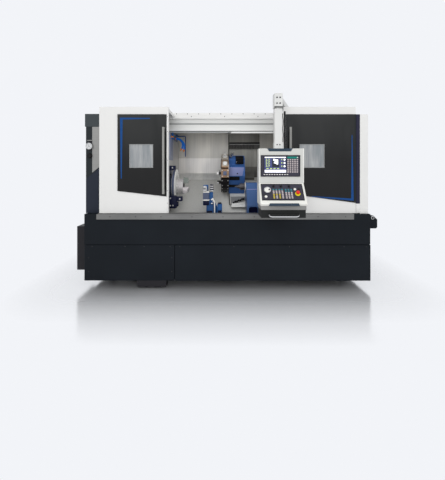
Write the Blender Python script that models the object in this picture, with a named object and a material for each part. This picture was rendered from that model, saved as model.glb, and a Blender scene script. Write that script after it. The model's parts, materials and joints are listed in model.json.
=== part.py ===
"""Slant-bed turn-mill machine with sliding doors and a hanging operator pendant.

Metres, +Z up. The front looks along -Y, X = 0 is the middle of the base and Z = 0 is the floor.
"Depth" is measured back from the base's front face, and an outline in (depth, height) is drawn
in the plane across the machine. The doors stand open, as they do at rest.
"""

import math

import bmesh
import bpy
from mathutils import Matrix, Vector

# Overall sizes
BASE_LENGTH = 3.30
BASE_DEPTH = 1.80
BASE_BOTTOM = 0.095
BASE_TOP = 0.862
PENDANT_REACH = 0.55
FRONT = (PENDANT_REACH - BASE_DEPTH) / 2
HALF_LENGTH = BASE_LENGTH / 2

# Clearances
SEAT = 0.0003
RUNNING = 0.0008

# How far edges are broken
SOFT_EDGE = 0.004
PANEL_EDGE = 0.003
FINE_EDGE = 0.002
PLATE_EDGE = 0.001

# Where the working space lies
LEFT_WALL = -0.755
RIGHT_WALL = 1.15
WALL_SHEET = 0.010
SPINDLE_DEPTH = 0.580
SPINDLE_OVER_BASE = 0.282
SPINDLE_HEIGHT = BASE_TOP + SPINDLE_OVER_BASE
CABINET_OVER_SPINDLE = 0.886
CABINET_TOP = SPINDLE_HEIGHT + CABINET_OVER_SPINDLE

# Base and front panels
TROUGH_DEPTH = 0.262
PAN_FLOOR = BASE_TOP - TROUGH_DEPTH
PANEL_THICKNESS = 0.020
PANEL_JOINT = 0.006
LOWER_PANEL_TOP = 0.505
LOWER_PANEL_SPLIT = -0.607
LOWER_RIGHT_PROUD = 0.007
SILL_INSET_LEFT = 0.144
SILL_INSET_RIGHT = 0.193
SILL_LEFT = -HALF_LENGTH + SILL_INSET_LEFT
SILL_RIGHT = HALF_LENGTH - SILL_INSET_RIGHT
SILL_HEIGHT = 0.060
SILL_PROUD = 0.013
RIB_WIDTH = 0.015
FRONT_WALL_BACK = 0.100

# Feet
FOOT_RADIUS = 0.060
FOOT_SCREW_RADIUS = 0.022
FOOT_PAD_HEIGHT = 0.030
FOOT_INSET_X = 0.22
FOOT_INSET_FRONT = 0.33
FOOT_INSET_BACK = 0.16
JACK_LEFT = -1.042
JACK_WIDTH = 0.336
JACK_BOTTOM = 0.022
JACK_SCREW_SPACING = 0.151
JACK_FRONT = 0.004
JACK_LENGTH = 0.126

# Cabinets
HEADSTOCK_LENGTH = 0.245
LEFT_CORE_RIGHT = LEFT_WALL - HEADSTOCK_LENGTH
RIGHT_DUCT_WIDTH = 0.180
RIGHT_CORE_LEFT = RIGHT_WALL + RIGHT_DUCT_WIDTH
RIGHT_FRONT_REACH = 0.320
RIGHT_OPENING = RIGHT_WALL - RIGHT_FRONT_REACH
FRONT_PANEL_THICKNESS = 0.050
CAP_HEIGHT = 0.150
CAP_BOTTOM = CABINET_TOP - CAP_HEIGHT
CAP_OVERHANG = 0.022
CORNER_FRONT = 0.07
DOOR_GAP = 0.005
COLUMN_INSET = 0.010
COLUMN_WIDTH = 0.095
COLUMN_DROP = 0.010
COLUMN_RIGHT = HALF_LENGTH - COLUMN_INSET
COLUMN_LEFT = COLUMN_RIGHT - COLUMN_WIDTH
COLUMN_TOP = CABINET_TOP - COLUMN_DROP
STRIP_WIDTH = 0.045
STRIP_LEFT = COLUMN_LEFT - STRIP_WIDTH
STRIP_BOTTOM = 0.98

# Doors
DOOR_FRONT = 0.030
DOOR_THICKNESS = 0.045
DOOR_LIFT = 0.006
DOOR_BOTTOM = BASE_TOP + DOOR_LIFT
ROOF_LIFT = 0.019
DOOR_ROOF = 0.040
DOOR_LIP = 0.017
ROOF_BOTTOM = CABINET_TOP + ROOF_LIFT
ROOF_TOP = ROOF_BOTTOM + DOOR_ROOF
DOOR_TOP = ROOF_TOP + DOOR_LIP
LEFT_DOOR_INSET = 0.160
LEFT_DOOR_WIDTH = 0.806
LEFT_DOOR_LEFT = -HALF_LENGTH + LEFT_DOOR_INSET
LEFT_DOOR = (LEFT_DOOR_LEFT, LEFT_DOOR_LEFT + LEFT_DOOR_WIDTH)
RIGHT_DOOR_WIDTH = 0.838
RIGHT_DOOR = (STRIP_LEFT - DOOR_GAP - RIGHT_DOOR_WIDTH, STRIP_LEFT - DOOR_GAP)

# Door glass, windows and handles
GLASS_THICKNESS = 0.008
GLASS_DROP = 0.087
GLASS_TOP = DOOR_TOP - GLASS_DROP
LEFT_GLASS_INSET = 0.022
LEFT_GLASS_WIDTH = 0.5695
LEFT_GLASS_OUTER_LIFT = 0.259
LEFT_GLASS_INNER_LIFT = 0.195
LEFT_GLASS_RIGHT = LEFT_DOOR[1] - LEFT_GLASS_INSET
LEFT_GLASS = (LEFT_GLASS_RIGHT - LEFT_GLASS_WIDTH, LEFT_GLASS_RIGHT)
LEFT_GLASS_BOTTOM = (DOOR_BOTTOM + LEFT_GLASS_OUTER_LIFT, DOOR_BOTTOM + LEFT_GLASS_INNER_LIFT)
RIGHT_GLASS_INSET = 0.024
RIGHT_GLASS_WIDTH = 0.797
RIGHT_GLASS_INNER_LIFT = 0.230
RIGHT_GLASS_OUTER_LIFT = 0.123
RIGHT_GLASS_LEFT = RIGHT_DOOR[0] + RIGHT_GLASS_INSET
RIGHT_GLASS = (RIGHT_GLASS_LEFT, RIGHT_GLASS_LEFT + RIGHT_GLASS_WIDTH)
RIGHT_GLASS_BOTTOM = (DOOR_BOTTOM + RIGHT_GLASS_INNER_LIFT, DOOR_BOTTOM + RIGHT_GLASS_OUTER_LIFT)
WINDOW_BOTTOM = 1.402
WINDOW_HEIGHT = 0.262
WINDOW_HEIGHTS = (WINDOW_BOTTOM, WINDOW_BOTTOM + WINDOW_HEIGHT)
LEFT_WINDOW_INSET = 0.1445
LEFT_WINDOW_WIDTH = 0.264
LEFT_WINDOW_LEFT = LEFT_GLASS[0] + LEFT_WINDOW_INSET
LEFT_WINDOW = (LEFT_WINDOW_LEFT, LEFT_WINDOW_LEFT + LEFT_WINDOW_WIDTH)
RIGHT_WINDOW_INSET = 0.164
RIGHT_WINDOW_WIDTH = 0.2775
RIGHT_WINDOW_LEFT = RIGHT_GLASS[0] + RIGHT_WINDOW_INSET
RIGHT_WINDOW = (RIGHT_WINDOW_LEFT, RIGHT_WINDOW_LEFT + RIGHT_WINDOW_WIDTH)
WINDOW_GAP = 0.0005
PANE_SET_BACK = 0.002
PANE_THICKNESS = 0.010
HANDLE_WIDTH = 0.025
HANDLE_BOTTOM = 1.094
HANDLE_LENGTH = 0.771
HANDLE_STAND_OFF = 0.034
HANDLE_BAR = 0.016
LEFT_HANDLE_INSET = 0.029
LEFT_HANDLE_X = LEFT_GLASS[1] - LEFT_HANDLE_INSET
RIGHT_HANDLE_INSET = 0.0455
RIGHT_HANDLE_X = RIGHT_GLASS[0] + RIGHT_HANDLE_INSET

# Top beams and roof
BEAM_FRONT = 0.47
BEAM_DEPTH = 0.12
BEAM_HEIGHT = 0.152
BEAM_BOTTOM = CABINET_TOP - BEAM_HEIGHT
RAIL_OVER_DOOR = 0.008
RAIL_TOP = DOOR_TOP + RAIL_OVER_DOOR
RAIL_LIP_REACH = 0.030
RAIL_LIP_HEIGHT = 0.014
REAR_BEAM_HEIGHT = 0.041
REAR_BEAM_FRONT = 0.95
REAR_BEAM_DEPTH = 0.10
ROOF_PLATE = 0.020

# Bed: the ways slope up to the back at the slant, from a toe behind the lower guideway
SLANT = math.radians(30)
SWING_OVER_WAYS = 0.318
SPINDLE_UP_WAYS = 0.161
TOE_DEPTH = SPINDLE_DEPTH - SPINDLE_UP_WAYS * math.cos(SLANT) + SWING_OVER_WAYS * math.sin(SLANT)
TOE_HEIGHT = SPINDLE_HEIGHT - SPINDLE_UP_WAYS * math.sin(SLANT) - SWING_OVER_WAYS * math.cos(SLANT)
WAYS_LENGTH = 0.831
LEDGE_RISE = 0.100
LEDGE_DEPTH = 0.0408
REAR_WALL_DEPTH = TOE_DEPTH + WAYS_LENGTH * math.cos(SLANT) + LEDGE_DEPTH
REAR_WALL_DROP = 0.080
REAR_WALL_TOP = CABINET_TOP - REAR_WALL_DROP
SHEET = 0.004
GUIDE_SET_FORWARD = 0.0246
GUIDE_DEPTH = 0.275
GUIDE_BACK = TOE_DEPTH - GUIDE_SET_FORWARD
GUIDE_FRONT = GUIDE_BACK - GUIDE_DEPTH
GUIDE_RISE = 0.100
GUIDE_TOP = PAN_FLOOR + GUIDE_RISE
GUIDE_RAIL = 0.012
GUIDE_INSET = 0.020
WALL_OVER_COVERS = 0.020

# Headstock, chuck and jaws
HEADSTOCK_RADIUS = 0.235
NOSE_RADIUS = 0.150
NOSE_LENGTH = 0.051
FLANGE_LEFT = LEFT_WALL + NOSE_LENGTH
FLANGE_RADIUS = 0.234
FLANGE_THICKNESS = 0.034
CHUCK_RADIUS = 0.104
CHUCK_THICKNESS = 0.093
JAW_COUNT = 3
JAW_WIDTH = 0.040
JAW_LENGTH = 0.060
JAW_INNER = 0.045
JAW_OUTER = 0.122

# Saddle and telescopic way covers
SADDLE_LEFT = 0.050
SADDLE_WIDTH = 0.390
SADDLE_BODY = (SADDLE_LEFT, SADDLE_LEFT + SADDLE_WIDTH)
COVER_REACH_LEFT = 0.690
COVER_REACH_RIGHT = 0.310
SADDLE_COVER = (SADDLE_BODY[0] - COVER_REACH_LEFT, SADDLE_BODY[1] + COVER_REACH_RIGHT)
LEFT_SEGMENT_GAP = 0.065
LEFT_SEGMENT_LENGTH = 0.590
LEFT_SEGMENT_LEFT = LEFT_WALL + LEFT_SEGMENT_GAP
LEFT_SEGMENT = (LEFT_SEGMENT_LEFT, LEFT_SEGMENT_LEFT + LEFT_SEGMENT_LENGTH)
RIGHT_SEGMENT_GAP = 0.050
RIGHT_SEGMENT_LENGTH = 0.550
RIGHT_SEGMENT_RIGHT = RIGHT_WALL - RIGHT_SEGMENT_GAP
RIGHT_SEGMENT = (RIGHT_SEGMENT_RIGHT - RIGHT_SEGMENT_LENGTH, RIGHT_SEGMENT_RIGHT)
SADDLE_RISE = 0.055
SADDLE_START = 0.140
SADDLE_WALL_DROP = 0.020
SADDLE_WALL_TOP = REAR_WALL_TOP - SADDLE_WALL_DROP
BELLOWS_FOLDS = 8
BELLOWS_DEPTH = 0.050
BELLOWS_VALLEY = 0.030
BELLOWS_DROP = 0.155
BELLOWS_HEIGHT = 0.085
BELLOWS_TOP = SADDLE_WALL_TOP - BELLOWS_DROP

# Turret and its housing
TURRET_OUT = 0.3557
TURRET_SET_LEFT = 0.126
TURRET_WIDTH = 0.111
TURRET_LEFT = SADDLE_LEFT - TURRET_SET_LEFT
TURRET_RIGHT = TURRET_LEFT + TURRET_WIDTH
TURRET_CLEARANCE = 0.093
TURRET_RADIUS = SWING_OVER_WAYS - TURRET_CLEARANCE
TURRET_EDGE = 0.008
TURRET_STATIONS = 12
HOLDER_OUT = 0.040
HOLDER_REACH = TURRET_RADIUS + HOLDER_OUT
TOOL_OVERHANG = 0.054
TOOL_OUT = 0.027
TOOL_REACH = HOLDER_REACH + TOOL_OUT
TOOL_WIDTH = 0.066
TOOL_SHANK = 0.032
HOUSING_WIDTH = 0.225
HOUSING_FOOT = 0.145
HOUSING_HEEL = 0.125
HOUSING_HALF = 0.140
HOUSING_CREST = 0.080

# Tailstock and steady rest
TAILSTOCK_LEFT = 0.255
TAILSTOCK_LENGTH = 0.345
QUILL_RADIUS = 0.045
QUILL_OUT = 0.147
QUILL_IN = 0.145
QUILL_TIP_X = TAILSTOCK_LEFT - QUILL_OUT
QUILL_END = TAILSTOCK_LEFT + QUILL_IN
CENTRE_LENGTH = 0.070
CENTRE_TIP_RADIUS = 0.004
CENTRE_RADIUS = 0.030
TAILSTOCK_REACH = 0.070
TAILSTOCK_CROWN = 0.055
TAILSTOCK_OVER_WAYS = 0.045
STEADY_LEFT = -0.310
STEADY_LENGTH = 0.250
STEADY_X = (STEADY_LEFT, STEADY_LEFT + STEADY_LENGTH)
CRADLE_INSET = 0.002
CRADLE_THICKNESS = 0.058
CRADLE_LEFT = STEADY_LEFT + CRADLE_INSET
STEADY_CRADLE_X = (CRADLE_LEFT, CRADLE_LEFT + CRADLE_THICKNESS)
COLUMN_REACH = 0.130
STEADY_COLUMN_RIGHT = STEADY_LEFT + COLUMN_REACH
CRADLE_INNER = 0.066
CRADLE_WALL = 0.032
CRADLE_LIFT = 15
CRADLE_STEPS = 16
STEADY_FRONT = 0.155
STEADY_SHOE = 0.060
STEADY_BLOCK = 0.078
STEADY_BLOCK_HEIGHT = 0.115
STEADY_BLOCK_DROP = 0.0495
GUSSET_THICKNESS = 0.040
GUSSET_RISE = 0.084

# Side boxes
SIDE_REACH = 0.140
LEFT_BOX_BOTTOM = 0.180
LEFT_BOX_HEIGHT = 0.520
LEFT_BOX_DEPTH = 0.420
RIGHT_BOX_BOTTOM = 0.673
RIGHT_BOX_HEIGHT = 0.152
RIGHT_BOX_DEPTH = 0.320
RIGHT_BOX_CHAMFER = 0.045
SIDE_BOX_FRONT = 0.115

# Pendant arm and mast
PENDANT_X = 0.527
MAST_TO_HANDLE = 0.250
PENDANT_DEPTH = MAST_TO_HANDLE - PENDANT_REACH
ARM_HEIGHT = 0.060
ARM_TOP = RAIL_TOP + ARM_HEIGHT
ARM_WIDTH = 0.088
ARM_LEAN = 0.36
HEAD_HEIGHT = 0.151
HEAD_BOTTOM = ARM_TOP - HEAD_HEIGHT
HEAD_DEPTH = 0.100
HEAD_GUSSET = 0.110
MAST_WIDTH = 0.078
SWIVEL_RADIUS = 0.030
SWIVEL_GAP = 0.008

# Console: an upright face, a fold, and a face that slopes out to the toe
CONSOLE_LEFT_REACH = 0.209
CONSOLE_WIDTH = 0.461
CONSOLE_LEFT = PENDANT_X - CONSOLE_LEFT_REACH
CONSOLE_X = (CONSOLE_LEFT, CONSOLE_LEFT + CONSOLE_WIDTH)
CONSOLE_TOP = 1.595
FACE_HEIGHT = 0.359
SLOPE_HEIGHT = 0.196
CHIN_HEIGHT = 0.020
CONSOLE_FOLD = CONSOLE_TOP - FACE_HEIGHT
CONSOLE_CHIN = CONSOLE_FOLD - SLOPE_HEIGHT
CONSOLE_BOTTOM = CONSOLE_CHIN - CHIN_HEIGHT
FACE_REACH = 0.085
SLOPE_REACH = 0.150
BACK_REACH = 0.065
CONSOLE_FACE = PENDANT_DEPTH - FACE_REACH
CONSOLE_TOE = CONSOLE_FACE - SLOPE_REACH
CONSOLE_BACK = PENDANT_DEPTH + BACK_REACH
CONSOLE_PLATE = 0.006
DISPLAY_INSET = 0.019
DISPLAY_WIDTH = 0.404
DISPLAY_DROP = 0.0695
DISPLAY_HEIGHT = 0.2195
CONTROL_INSET = 0.017
CONTROL_WIDTH = 0.420
CONTROL_START = 0.0126
CONTROL_LENGTH = 0.192
WHEEL_INSET = 0.078
WHEEL_DOWN = 0.0918
WHEEL_RADIUS = 0.036
WHEEL_HEIGHT = 0.018
BUTTON_INSET = 0.082
BUTTON_DOWN = 0.1241
BUTTON_RADIUS = 0.020
BUTTON_HEIGHT = 0.026
TRAY_HEIGHT = 0.120
TRAY_BOTTOM = CONSOLE_BOTTOM - TRAY_HEIGHT
TRAY_INSET = 0.010
TRAY_SET_BACK = 0.035
TRAY_FRONT = CONSOLE_TOE + TRAY_SET_BACK
TRAY_HANDLE_INSET = 0.084
TRAY_HANDLE_WIDTH = 0.291
TRAY_HANDLE_RISE = 0.035
TRAY_BAR = 0.012

# Coolant hose
HOSE_RADIUS = 0.012
HOSE_BEND = 0.130
HOSE_TURN = 105
HOSE_STEPS = 12
HOSE_DEPTH = 0.900
HOSE_DROP = 0.060
HOSE_HEIGHT = BEAM_BOTTOM - HOSE_DROP


def clear_scene():
    for thing in list(bpy.data.objects):
        bpy.data.objects.remove(thing, do_unlink=True)


def paint(name, colour, roughness, metallic=0.0):
    """A Principled material. The colour is linear."""
    material = bpy.data.materials.new(name)
    material.use_nodes = True
    shader = material.node_tree.nodes["Principled BSDF"]
    shader.inputs["Base Color"].default_value = (*colour, 1.0)
    shader.inputs["Roughness"].default_value = roughness
    shader.inputs["Metallic"].default_value = metallic
    material.diffuse_color = (*colour, 1.0)
    return material


def make_paints():
    return {
        "white": paint("white_paint", (0.78, 0.78, 0.77), 0.35),
        "anthracite": paint("anthracite_paint", (0.016, 0.019, 0.024), 0.45),
        "grey": paint("dark_grey_paint", (0.040, 0.048, 0.058), 0.40),
        "blue": paint("blue_paint", (0.050, 0.110, 0.230), 0.40),
        "navy": paint("navy_paint", (0.020, 0.024, 0.045), 0.40),
        "black": paint("black_plastic", (0.012, 0.012, 0.014), 0.50),
        "glass": paint("dark_glass", (0.010, 0.011, 0.013), 0.10),
        "pane": paint("window_pane", (0.30, 0.32, 0.33), 0.15),
        "steel": paint("steel", (0.48, 0.48, 0.47), 0.32, 1.0),
        "sheet": paint("stainless_sheet", (0.50, 0.49, 0.48), 0.38, 1.0),
        "chrome": paint("chrome", (0.62, 0.62, 0.62), 0.18, 1.0),
        "iron": paint("cast_iron", (0.10, 0.10, 0.105), 0.60, 0.6),
        "rubber": paint("rubber", (0.010, 0.010, 0.010), 0.75),
        "red": paint("red_plastic", (0.55, 0.015, 0.015), 0.40),
    }


def place(depth, height):
    """The (y, z) of a point given by its depth and height."""
    return (FRONT + depth, height)


def pivot(name, x, depth, height, carrier=None):
    """An empty on a joint axis. What moves there is parented to it."""
    empty = bpy.data.objects.new(name, None)
    bpy.context.scene.collection.objects.link(empty)
    empty.location = (x, *place(depth, height))
    if carrier:
        empty.parent = carrier
        empty.location -= world_place(carrier)
    return empty


def world_place(thing):
    """Every parent here is moved but never turned, so places add up."""
    total = Vector((0, 0, 0))
    while thing:
        total += Vector(thing.location)
        thing = thing.parent
    return total


def finish(name, shape, material, centre, carrier=None, edge=0.0, smooth=False):
    """Makes the object, with its origin at centre, from a bmesh drawn about that origin."""
    bmesh.ops.recalc_face_normals(shape, faces=shape.faces)
    mesh = bpy.data.meshes.new(name)
    shape.to_mesh(mesh)
    shape.free()
    thing = bpy.data.objects.new(name, mesh)
    bpy.context.scene.collection.objects.link(thing)
    thing.location = centre
    if carrier:
        thing.parent = carrier
        thing.location -= world_place(carrier)
    if material:
        mesh.materials.append(material)
    if edge:
        bevel = thing.modifiers.new("soft edge", "BEVEL")
        bevel.width = edge
        bevel.segments = 1
        bevel.limit_method = "ANGLE"
        bevel.angle_limit = math.radians(50)
    if smooth:
        mesh.shade_smooth()
        mesh.set_sharp_from_angle(angle=math.radians(40))
    return thing


def slab(name, material, x, depth, height, carrier=None, edge=0.0):
    """A block between two values of x, two depths and two heights."""
    low = Vector((x[0], *place(depth[0], height[0])))
    high = Vector((x[1], *place(depth[1], height[1])))
    shape = bmesh.new()
    bmesh.ops.create_cube(shape, size=1.0)
    bmesh.ops.scale(shape, vec=high - low, verts=shape.verts)
    return finish(name, shape, material, (low + high) / 2, carrier, edge)


def raise_outline(points, step):
    """A closed prism: the outline's points and the same points moved by step."""
    shape = bmesh.new()
    corners = [shape.verts.new(point) for point in points]
    face = shape.faces.new(corners)
    raised = bmesh.ops.extrude_face_region(shape, geom=[face])["geom"]
    moved = [item for item in raised if isinstance(item, bmesh.types.BMVert)]
    bmesh.ops.translate(shape, vec=step, verts=moved)
    return shape


def profile(name, material, outline, x, carrier=None, edge=0.0):
    """A (depth, height) outline drawn out along X."""
    origin = Vector((x[0], *place(*outline[0])))
    points = [Vector((x[0], *place(*point))) - origin for point in outline]
    shape = raise_outline(points, Vector((x[1] - x[0], 0, 0)))
    return finish(name, shape, material, origin, carrier, edge)


def front_plate(name, material, outline, depth, carrier=None, edge=0.0):
    """An (x, height) outline drawn out from one depth to another."""
    origin = Vector((outline[0][0], *place(depth[0], outline[0][1])))
    points = [Vector((x, *place(depth[0], z))) - origin for x, z in outline]
    shape = raise_outline(points, Vector((0, depth[1] - depth[0], 0)))
    return finish(name, shape, material, origin, carrier, edge)


def upright(name, material, outline, height, carrier=None, edge=0.0):
    """An (x, depth) outline drawn up from one height to another."""
    origin = Vector((outline[0][0], *place(outline[0][1], height[0])))
    points = [Vector((x, *place(depth, height[0]))) - origin for x, depth in outline]
    shape = raise_outline(points, Vector((0, 0, height[1] - height[0])))
    return finish(name, shape, material, origin, carrier, edge)


def join_loops(shape, loops):
    """Closes the skin over loops of equally many corners, with both ends capped."""
    for first, second in zip(loops, loops[1:]):
        for step in range(len(first)):
            after = (step + 1) % len(first)
            shape.faces.new((first[step], first[after], second[after], second[step]))
    shape.faces.new(loops[0])
    shape.faces.new(reversed(loops[-1]))


def shaft(name, material, rings, depth, height, sides=32, carrier=None):
    """A solid turned about a line along X. Each ring is (x, radius)."""
    origin = Vector((rings[0][0], *place(depth, height)))
    shape = bmesh.new()
    loops = []
    for x, radius in rings:
        loop = []
        for step in range(sides):
            angle = math.tau * (step + 0.5) / sides
            offset = Vector((x - origin.x, radius * math.cos(angle), radius * math.sin(angle)))
            loop.append(shape.verts.new(offset))
        loops.append(loop)
    join_loops(shape, loops)
    return finish(name, shape, material, origin, carrier, smooth=True)


def post(name, material, x, depth, height, radius, sides=24, carrier=None):
    """An upright round bar between two heights."""
    centre = Vector((x, *place(depth, sum(height) / 2)))
    shape = bmesh.new()
    bmesh.ops.create_cone(
        shape,
        cap_ends=True,
        segments=sides,
        radius1=radius,
        radius2=radius,
        depth=height[1] - height[0],
    )
    return finish(name, shape, material, centre, carrier, smooth=True)


def cut(target, cutter):
    """Takes the cutter's shape out of the target. The cutter is only a guide."""
    cutter.hide_render = True
    cutter.display_type = "WIRE"
    modifier = target.modifiers.new("cut", "BOOLEAN")
    modifier.operation = "DIFFERENCE"
    modifier.object = cutter
    modifier.solver = "EXACT"


def join(target, addition):
    """Fuses the addition into the target. The addition stays as a guide."""
    addition.hide_render = True
    addition.display_type = "WIRE"
    modifier = target.modifiers.new("join", "BOOLEAN")
    modifier.operation = "UNION"
    modifier.object = addition
    modifier.solver = "EXACT"


def up_ways(along, above):
    """The (depth, height) of a point that lies along the slope and above the way covers."""
    depth = TOE_DEPTH + along * math.cos(SLANT) - above * math.sin(SLANT)
    height = TOE_HEIGHT + along * math.sin(SLANT) + above * math.cos(SLANT)
    return (depth, height)


def ways_line(above, start=0.0, top=REAR_WALL_TOP):
    """The line of the way covers from the front toe to the rear wall's top, raised by above."""
    rise = above * math.tan(SLANT)
    bend = up_ways(WAYS_LENGTH, 0)
    ledge = (REAR_WALL_DEPTH, bend[1] + LEDGE_RISE)
    return [
        up_ways(start, above),
        (bend[0] - above, bend[1] + rise),
        (ledge[0] - above, ledge[1] + rise),
        (REAR_WALL_DEPTH - above, top),
    ]


def way_cover(name, material, x, under, over, carrier=None):
    """A bent sheet that follows the ways and the rear wall between two heights above them."""
    outline = ways_line(over) + ways_line(under)[::-1]
    return profile(name, material, outline, x, carrier)


def build_base(paints):
    dark = paints["anthracite"]
    inner = PANEL_THICKNESS + SEAT
    whole = (-HALF_LENGTH, HALF_LENGTH)
    casting = slab("base_casting", dark, whole, (inner, BASE_DEPTH), (BASE_BOTTOM, PAN_FLOOR))
    add_feet(casting)
    split = LOWER_PANEL_SPLIT
    half_joint = PANEL_JOINT / 2
    low = (BASE_BOTTOM, LOWER_PANEL_TOP)
    flush = (0.0, PANEL_THICKNESS)
    slab("lower_left_panel", dark, (-HALF_LENGTH, split - half_joint), flush, low, edge=FINE_EDGE)
    proud = (-LOWER_RIGHT_PROUD, PANEL_THICKNESS)
    slab("lower_right_panel", dark, (split + half_joint, HALF_LENGTH), proud, low, edge=FINE_EDGE)
    band = raised_ends(LOWER_PANEL_TOP + PANEL_JOINT)
    front_plate("upper_front_panel", dark, band, flush)
    front_plate("front_bed_wall", dark, raised_ends(PAN_FLOOR + SEAT), (inner, FRONT_WALL_BACK))
    build_sill(paints)
    build_jack(paints)


def raised_ends(bottom):
    """The front band's outline in (x, height): lower under the sill, full height beside it."""
    under_sill = BASE_TOP - SILL_HEIGHT - SEAT
    return [
        (-HALF_LENGTH, bottom),
        (HALF_LENGTH, bottom),
        (HALF_LENGTH, BASE_TOP),
        (SILL_RIGHT + SEAT, BASE_TOP),
        (SILL_RIGHT + SEAT, under_sill),
        (SILL_LEFT - SEAT, under_sill),
        (SILL_LEFT - SEAT, BASE_TOP),
        (-HALF_LENGTH, BASE_TOP),
    ]


def build_sill(paints):
    """The silver sill, with the rib that the doors run on."""
    rib_middle = DOOR_FRONT + DOOR_THICKNESS / 2
    rib_top = DOOR_BOTTOM - SEAT
    front = -SILL_PROUD
    outline = [
        (front, BASE_TOP - SILL_HEIGHT),
        (FRONT_WALL_BACK, BASE_TOP - SILL_HEIGHT),
        (FRONT_WALL_BACK, BASE_TOP),
        (rib_middle + RIB_WIDTH / 2, BASE_TOP),
        (rib_middle + RIB_WIDTH / 2, rib_top),
        (rib_middle - RIB_WIDTH / 2, rib_top),
        (rib_middle - RIB_WIDTH / 2, BASE_TOP),
        (front, BASE_TOP),
    ]
    profile("front_sill", paints["steel"], outline, (SILL_LEFT, SILL_RIGHT))


def add_feet(casting):
    """Six levelling feet, set back under the casting and screwed into it."""
    number = 0
    for depth in (FOOT_INSET_FRONT, BASE_DEPTH - FOOT_INSET_BACK):
        for x in (-HALF_LENGTH + FOOT_INSET_X, 0.0, HALF_LENGTH - FOOT_INSET_X):
            number += 1
            pad = post(f"foot_pad_{number}", None, x, depth, (0.0, FOOT_PAD_HEIGHT), FOOT_RADIUS)
            screw_heights = (FOOT_PAD_HEIGHT / 2, BASE_BOTTOM + FOOT_PAD_HEIGHT)
            screw = post(f"foot_screw_{number}", None, x, depth, screw_heights, FOOT_SCREW_RADIUS)
            join(casting, pad)
            join(casting, screw)


def build_jack(paints):
    """The broad jacking foot under the front edge, on two screws."""
    middle = JACK_LEFT + JACK_WIDTH / 2
    depth = (JACK_FRONT, JACK_FRONT + JACK_LENGTH)
    heights = (JACK_BOTTOM, BASE_BOTTOM - SEAT)
    x = (JACK_LEFT, JACK_LEFT + JACK_WIDTH)
    block = slab("jacking_foot", paints["anthracite"], x, depth, heights)
    for side in (-1, 1):
        place_x = middle + side * JACK_SCREW_SPACING / 2
        reach = (0.0, JACK_BOTTOM + FOOT_PAD_HEIGHT)
        screw = post(f"jack_screw_{side}", None, place_x, sum(depth) / 2, reach, FOOT_SCREW_RADIUS)
        join(block, screw)


def build_bed(paints):
    """The sloping casting, with the lower guideway in front, and the sheet that covers its ways."""
    line = ways_line(-SHEET - SEAT)
    guide = (GUIDE_FRONT + GUIDE_INSET, GUIDE_BACK - GUIDE_INSET)
    bed = [
        (GUIDE_FRONT, PAN_FLOOR + SEAT),
        (GUIDE_FRONT, GUIDE_TOP),
        (guide[0], GUIDE_TOP),
        (guide[0], GUIDE_TOP + GUIDE_RAIL),
        (guide[1], GUIDE_TOP + GUIDE_RAIL),
        (guide[1], GUIDE_TOP),
        (GUIDE_BACK, GUIDE_TOP),
        (GUIDE_BACK, line[0][1]),
        *line[:3],
        (REAR_WALL_DEPTH + SHEET + SEAT, PAN_FLOOR + SEAT),
    ]
    span = (LEFT_CORE_RIGHT + SEAT, RIGHT_CORE_LEFT - SEAT)
    profile("slant_bed", paints["iron"], bed, span)
    way_cover("fixed_way_cover", paints["sheet"], span, -SHEET, 0.0)


def inner_wall_outline():
    """The side of the working space: in front of the rear wall and above the moving covers."""
    line = ways_line(WALL_OVER_COVERS)
    front = FRONT_WALL_BACK + FRONT_PANEL_THICKNESS + 2 * SEAT
    over_rail = GUIDE_TOP + GUIDE_RAIL + SEAT
    back = GUIDE_BACK - WALL_SHEET
    top = BEAM_BOTTOM - SEAT
    return [
        (front, PAN_FLOOR + SEAT),
        (GUIDE_FRONT - SEAT, PAN_FLOOR + SEAT),
        (GUIDE_FRONT - SEAT, over_rail),
        (back, over_rail),
        (back, line[0][1]),
        *line[:3],
        (REAR_WALL_DEPTH - WALL_OVER_COVERS, top),
        (front, top),
    ]


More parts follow.
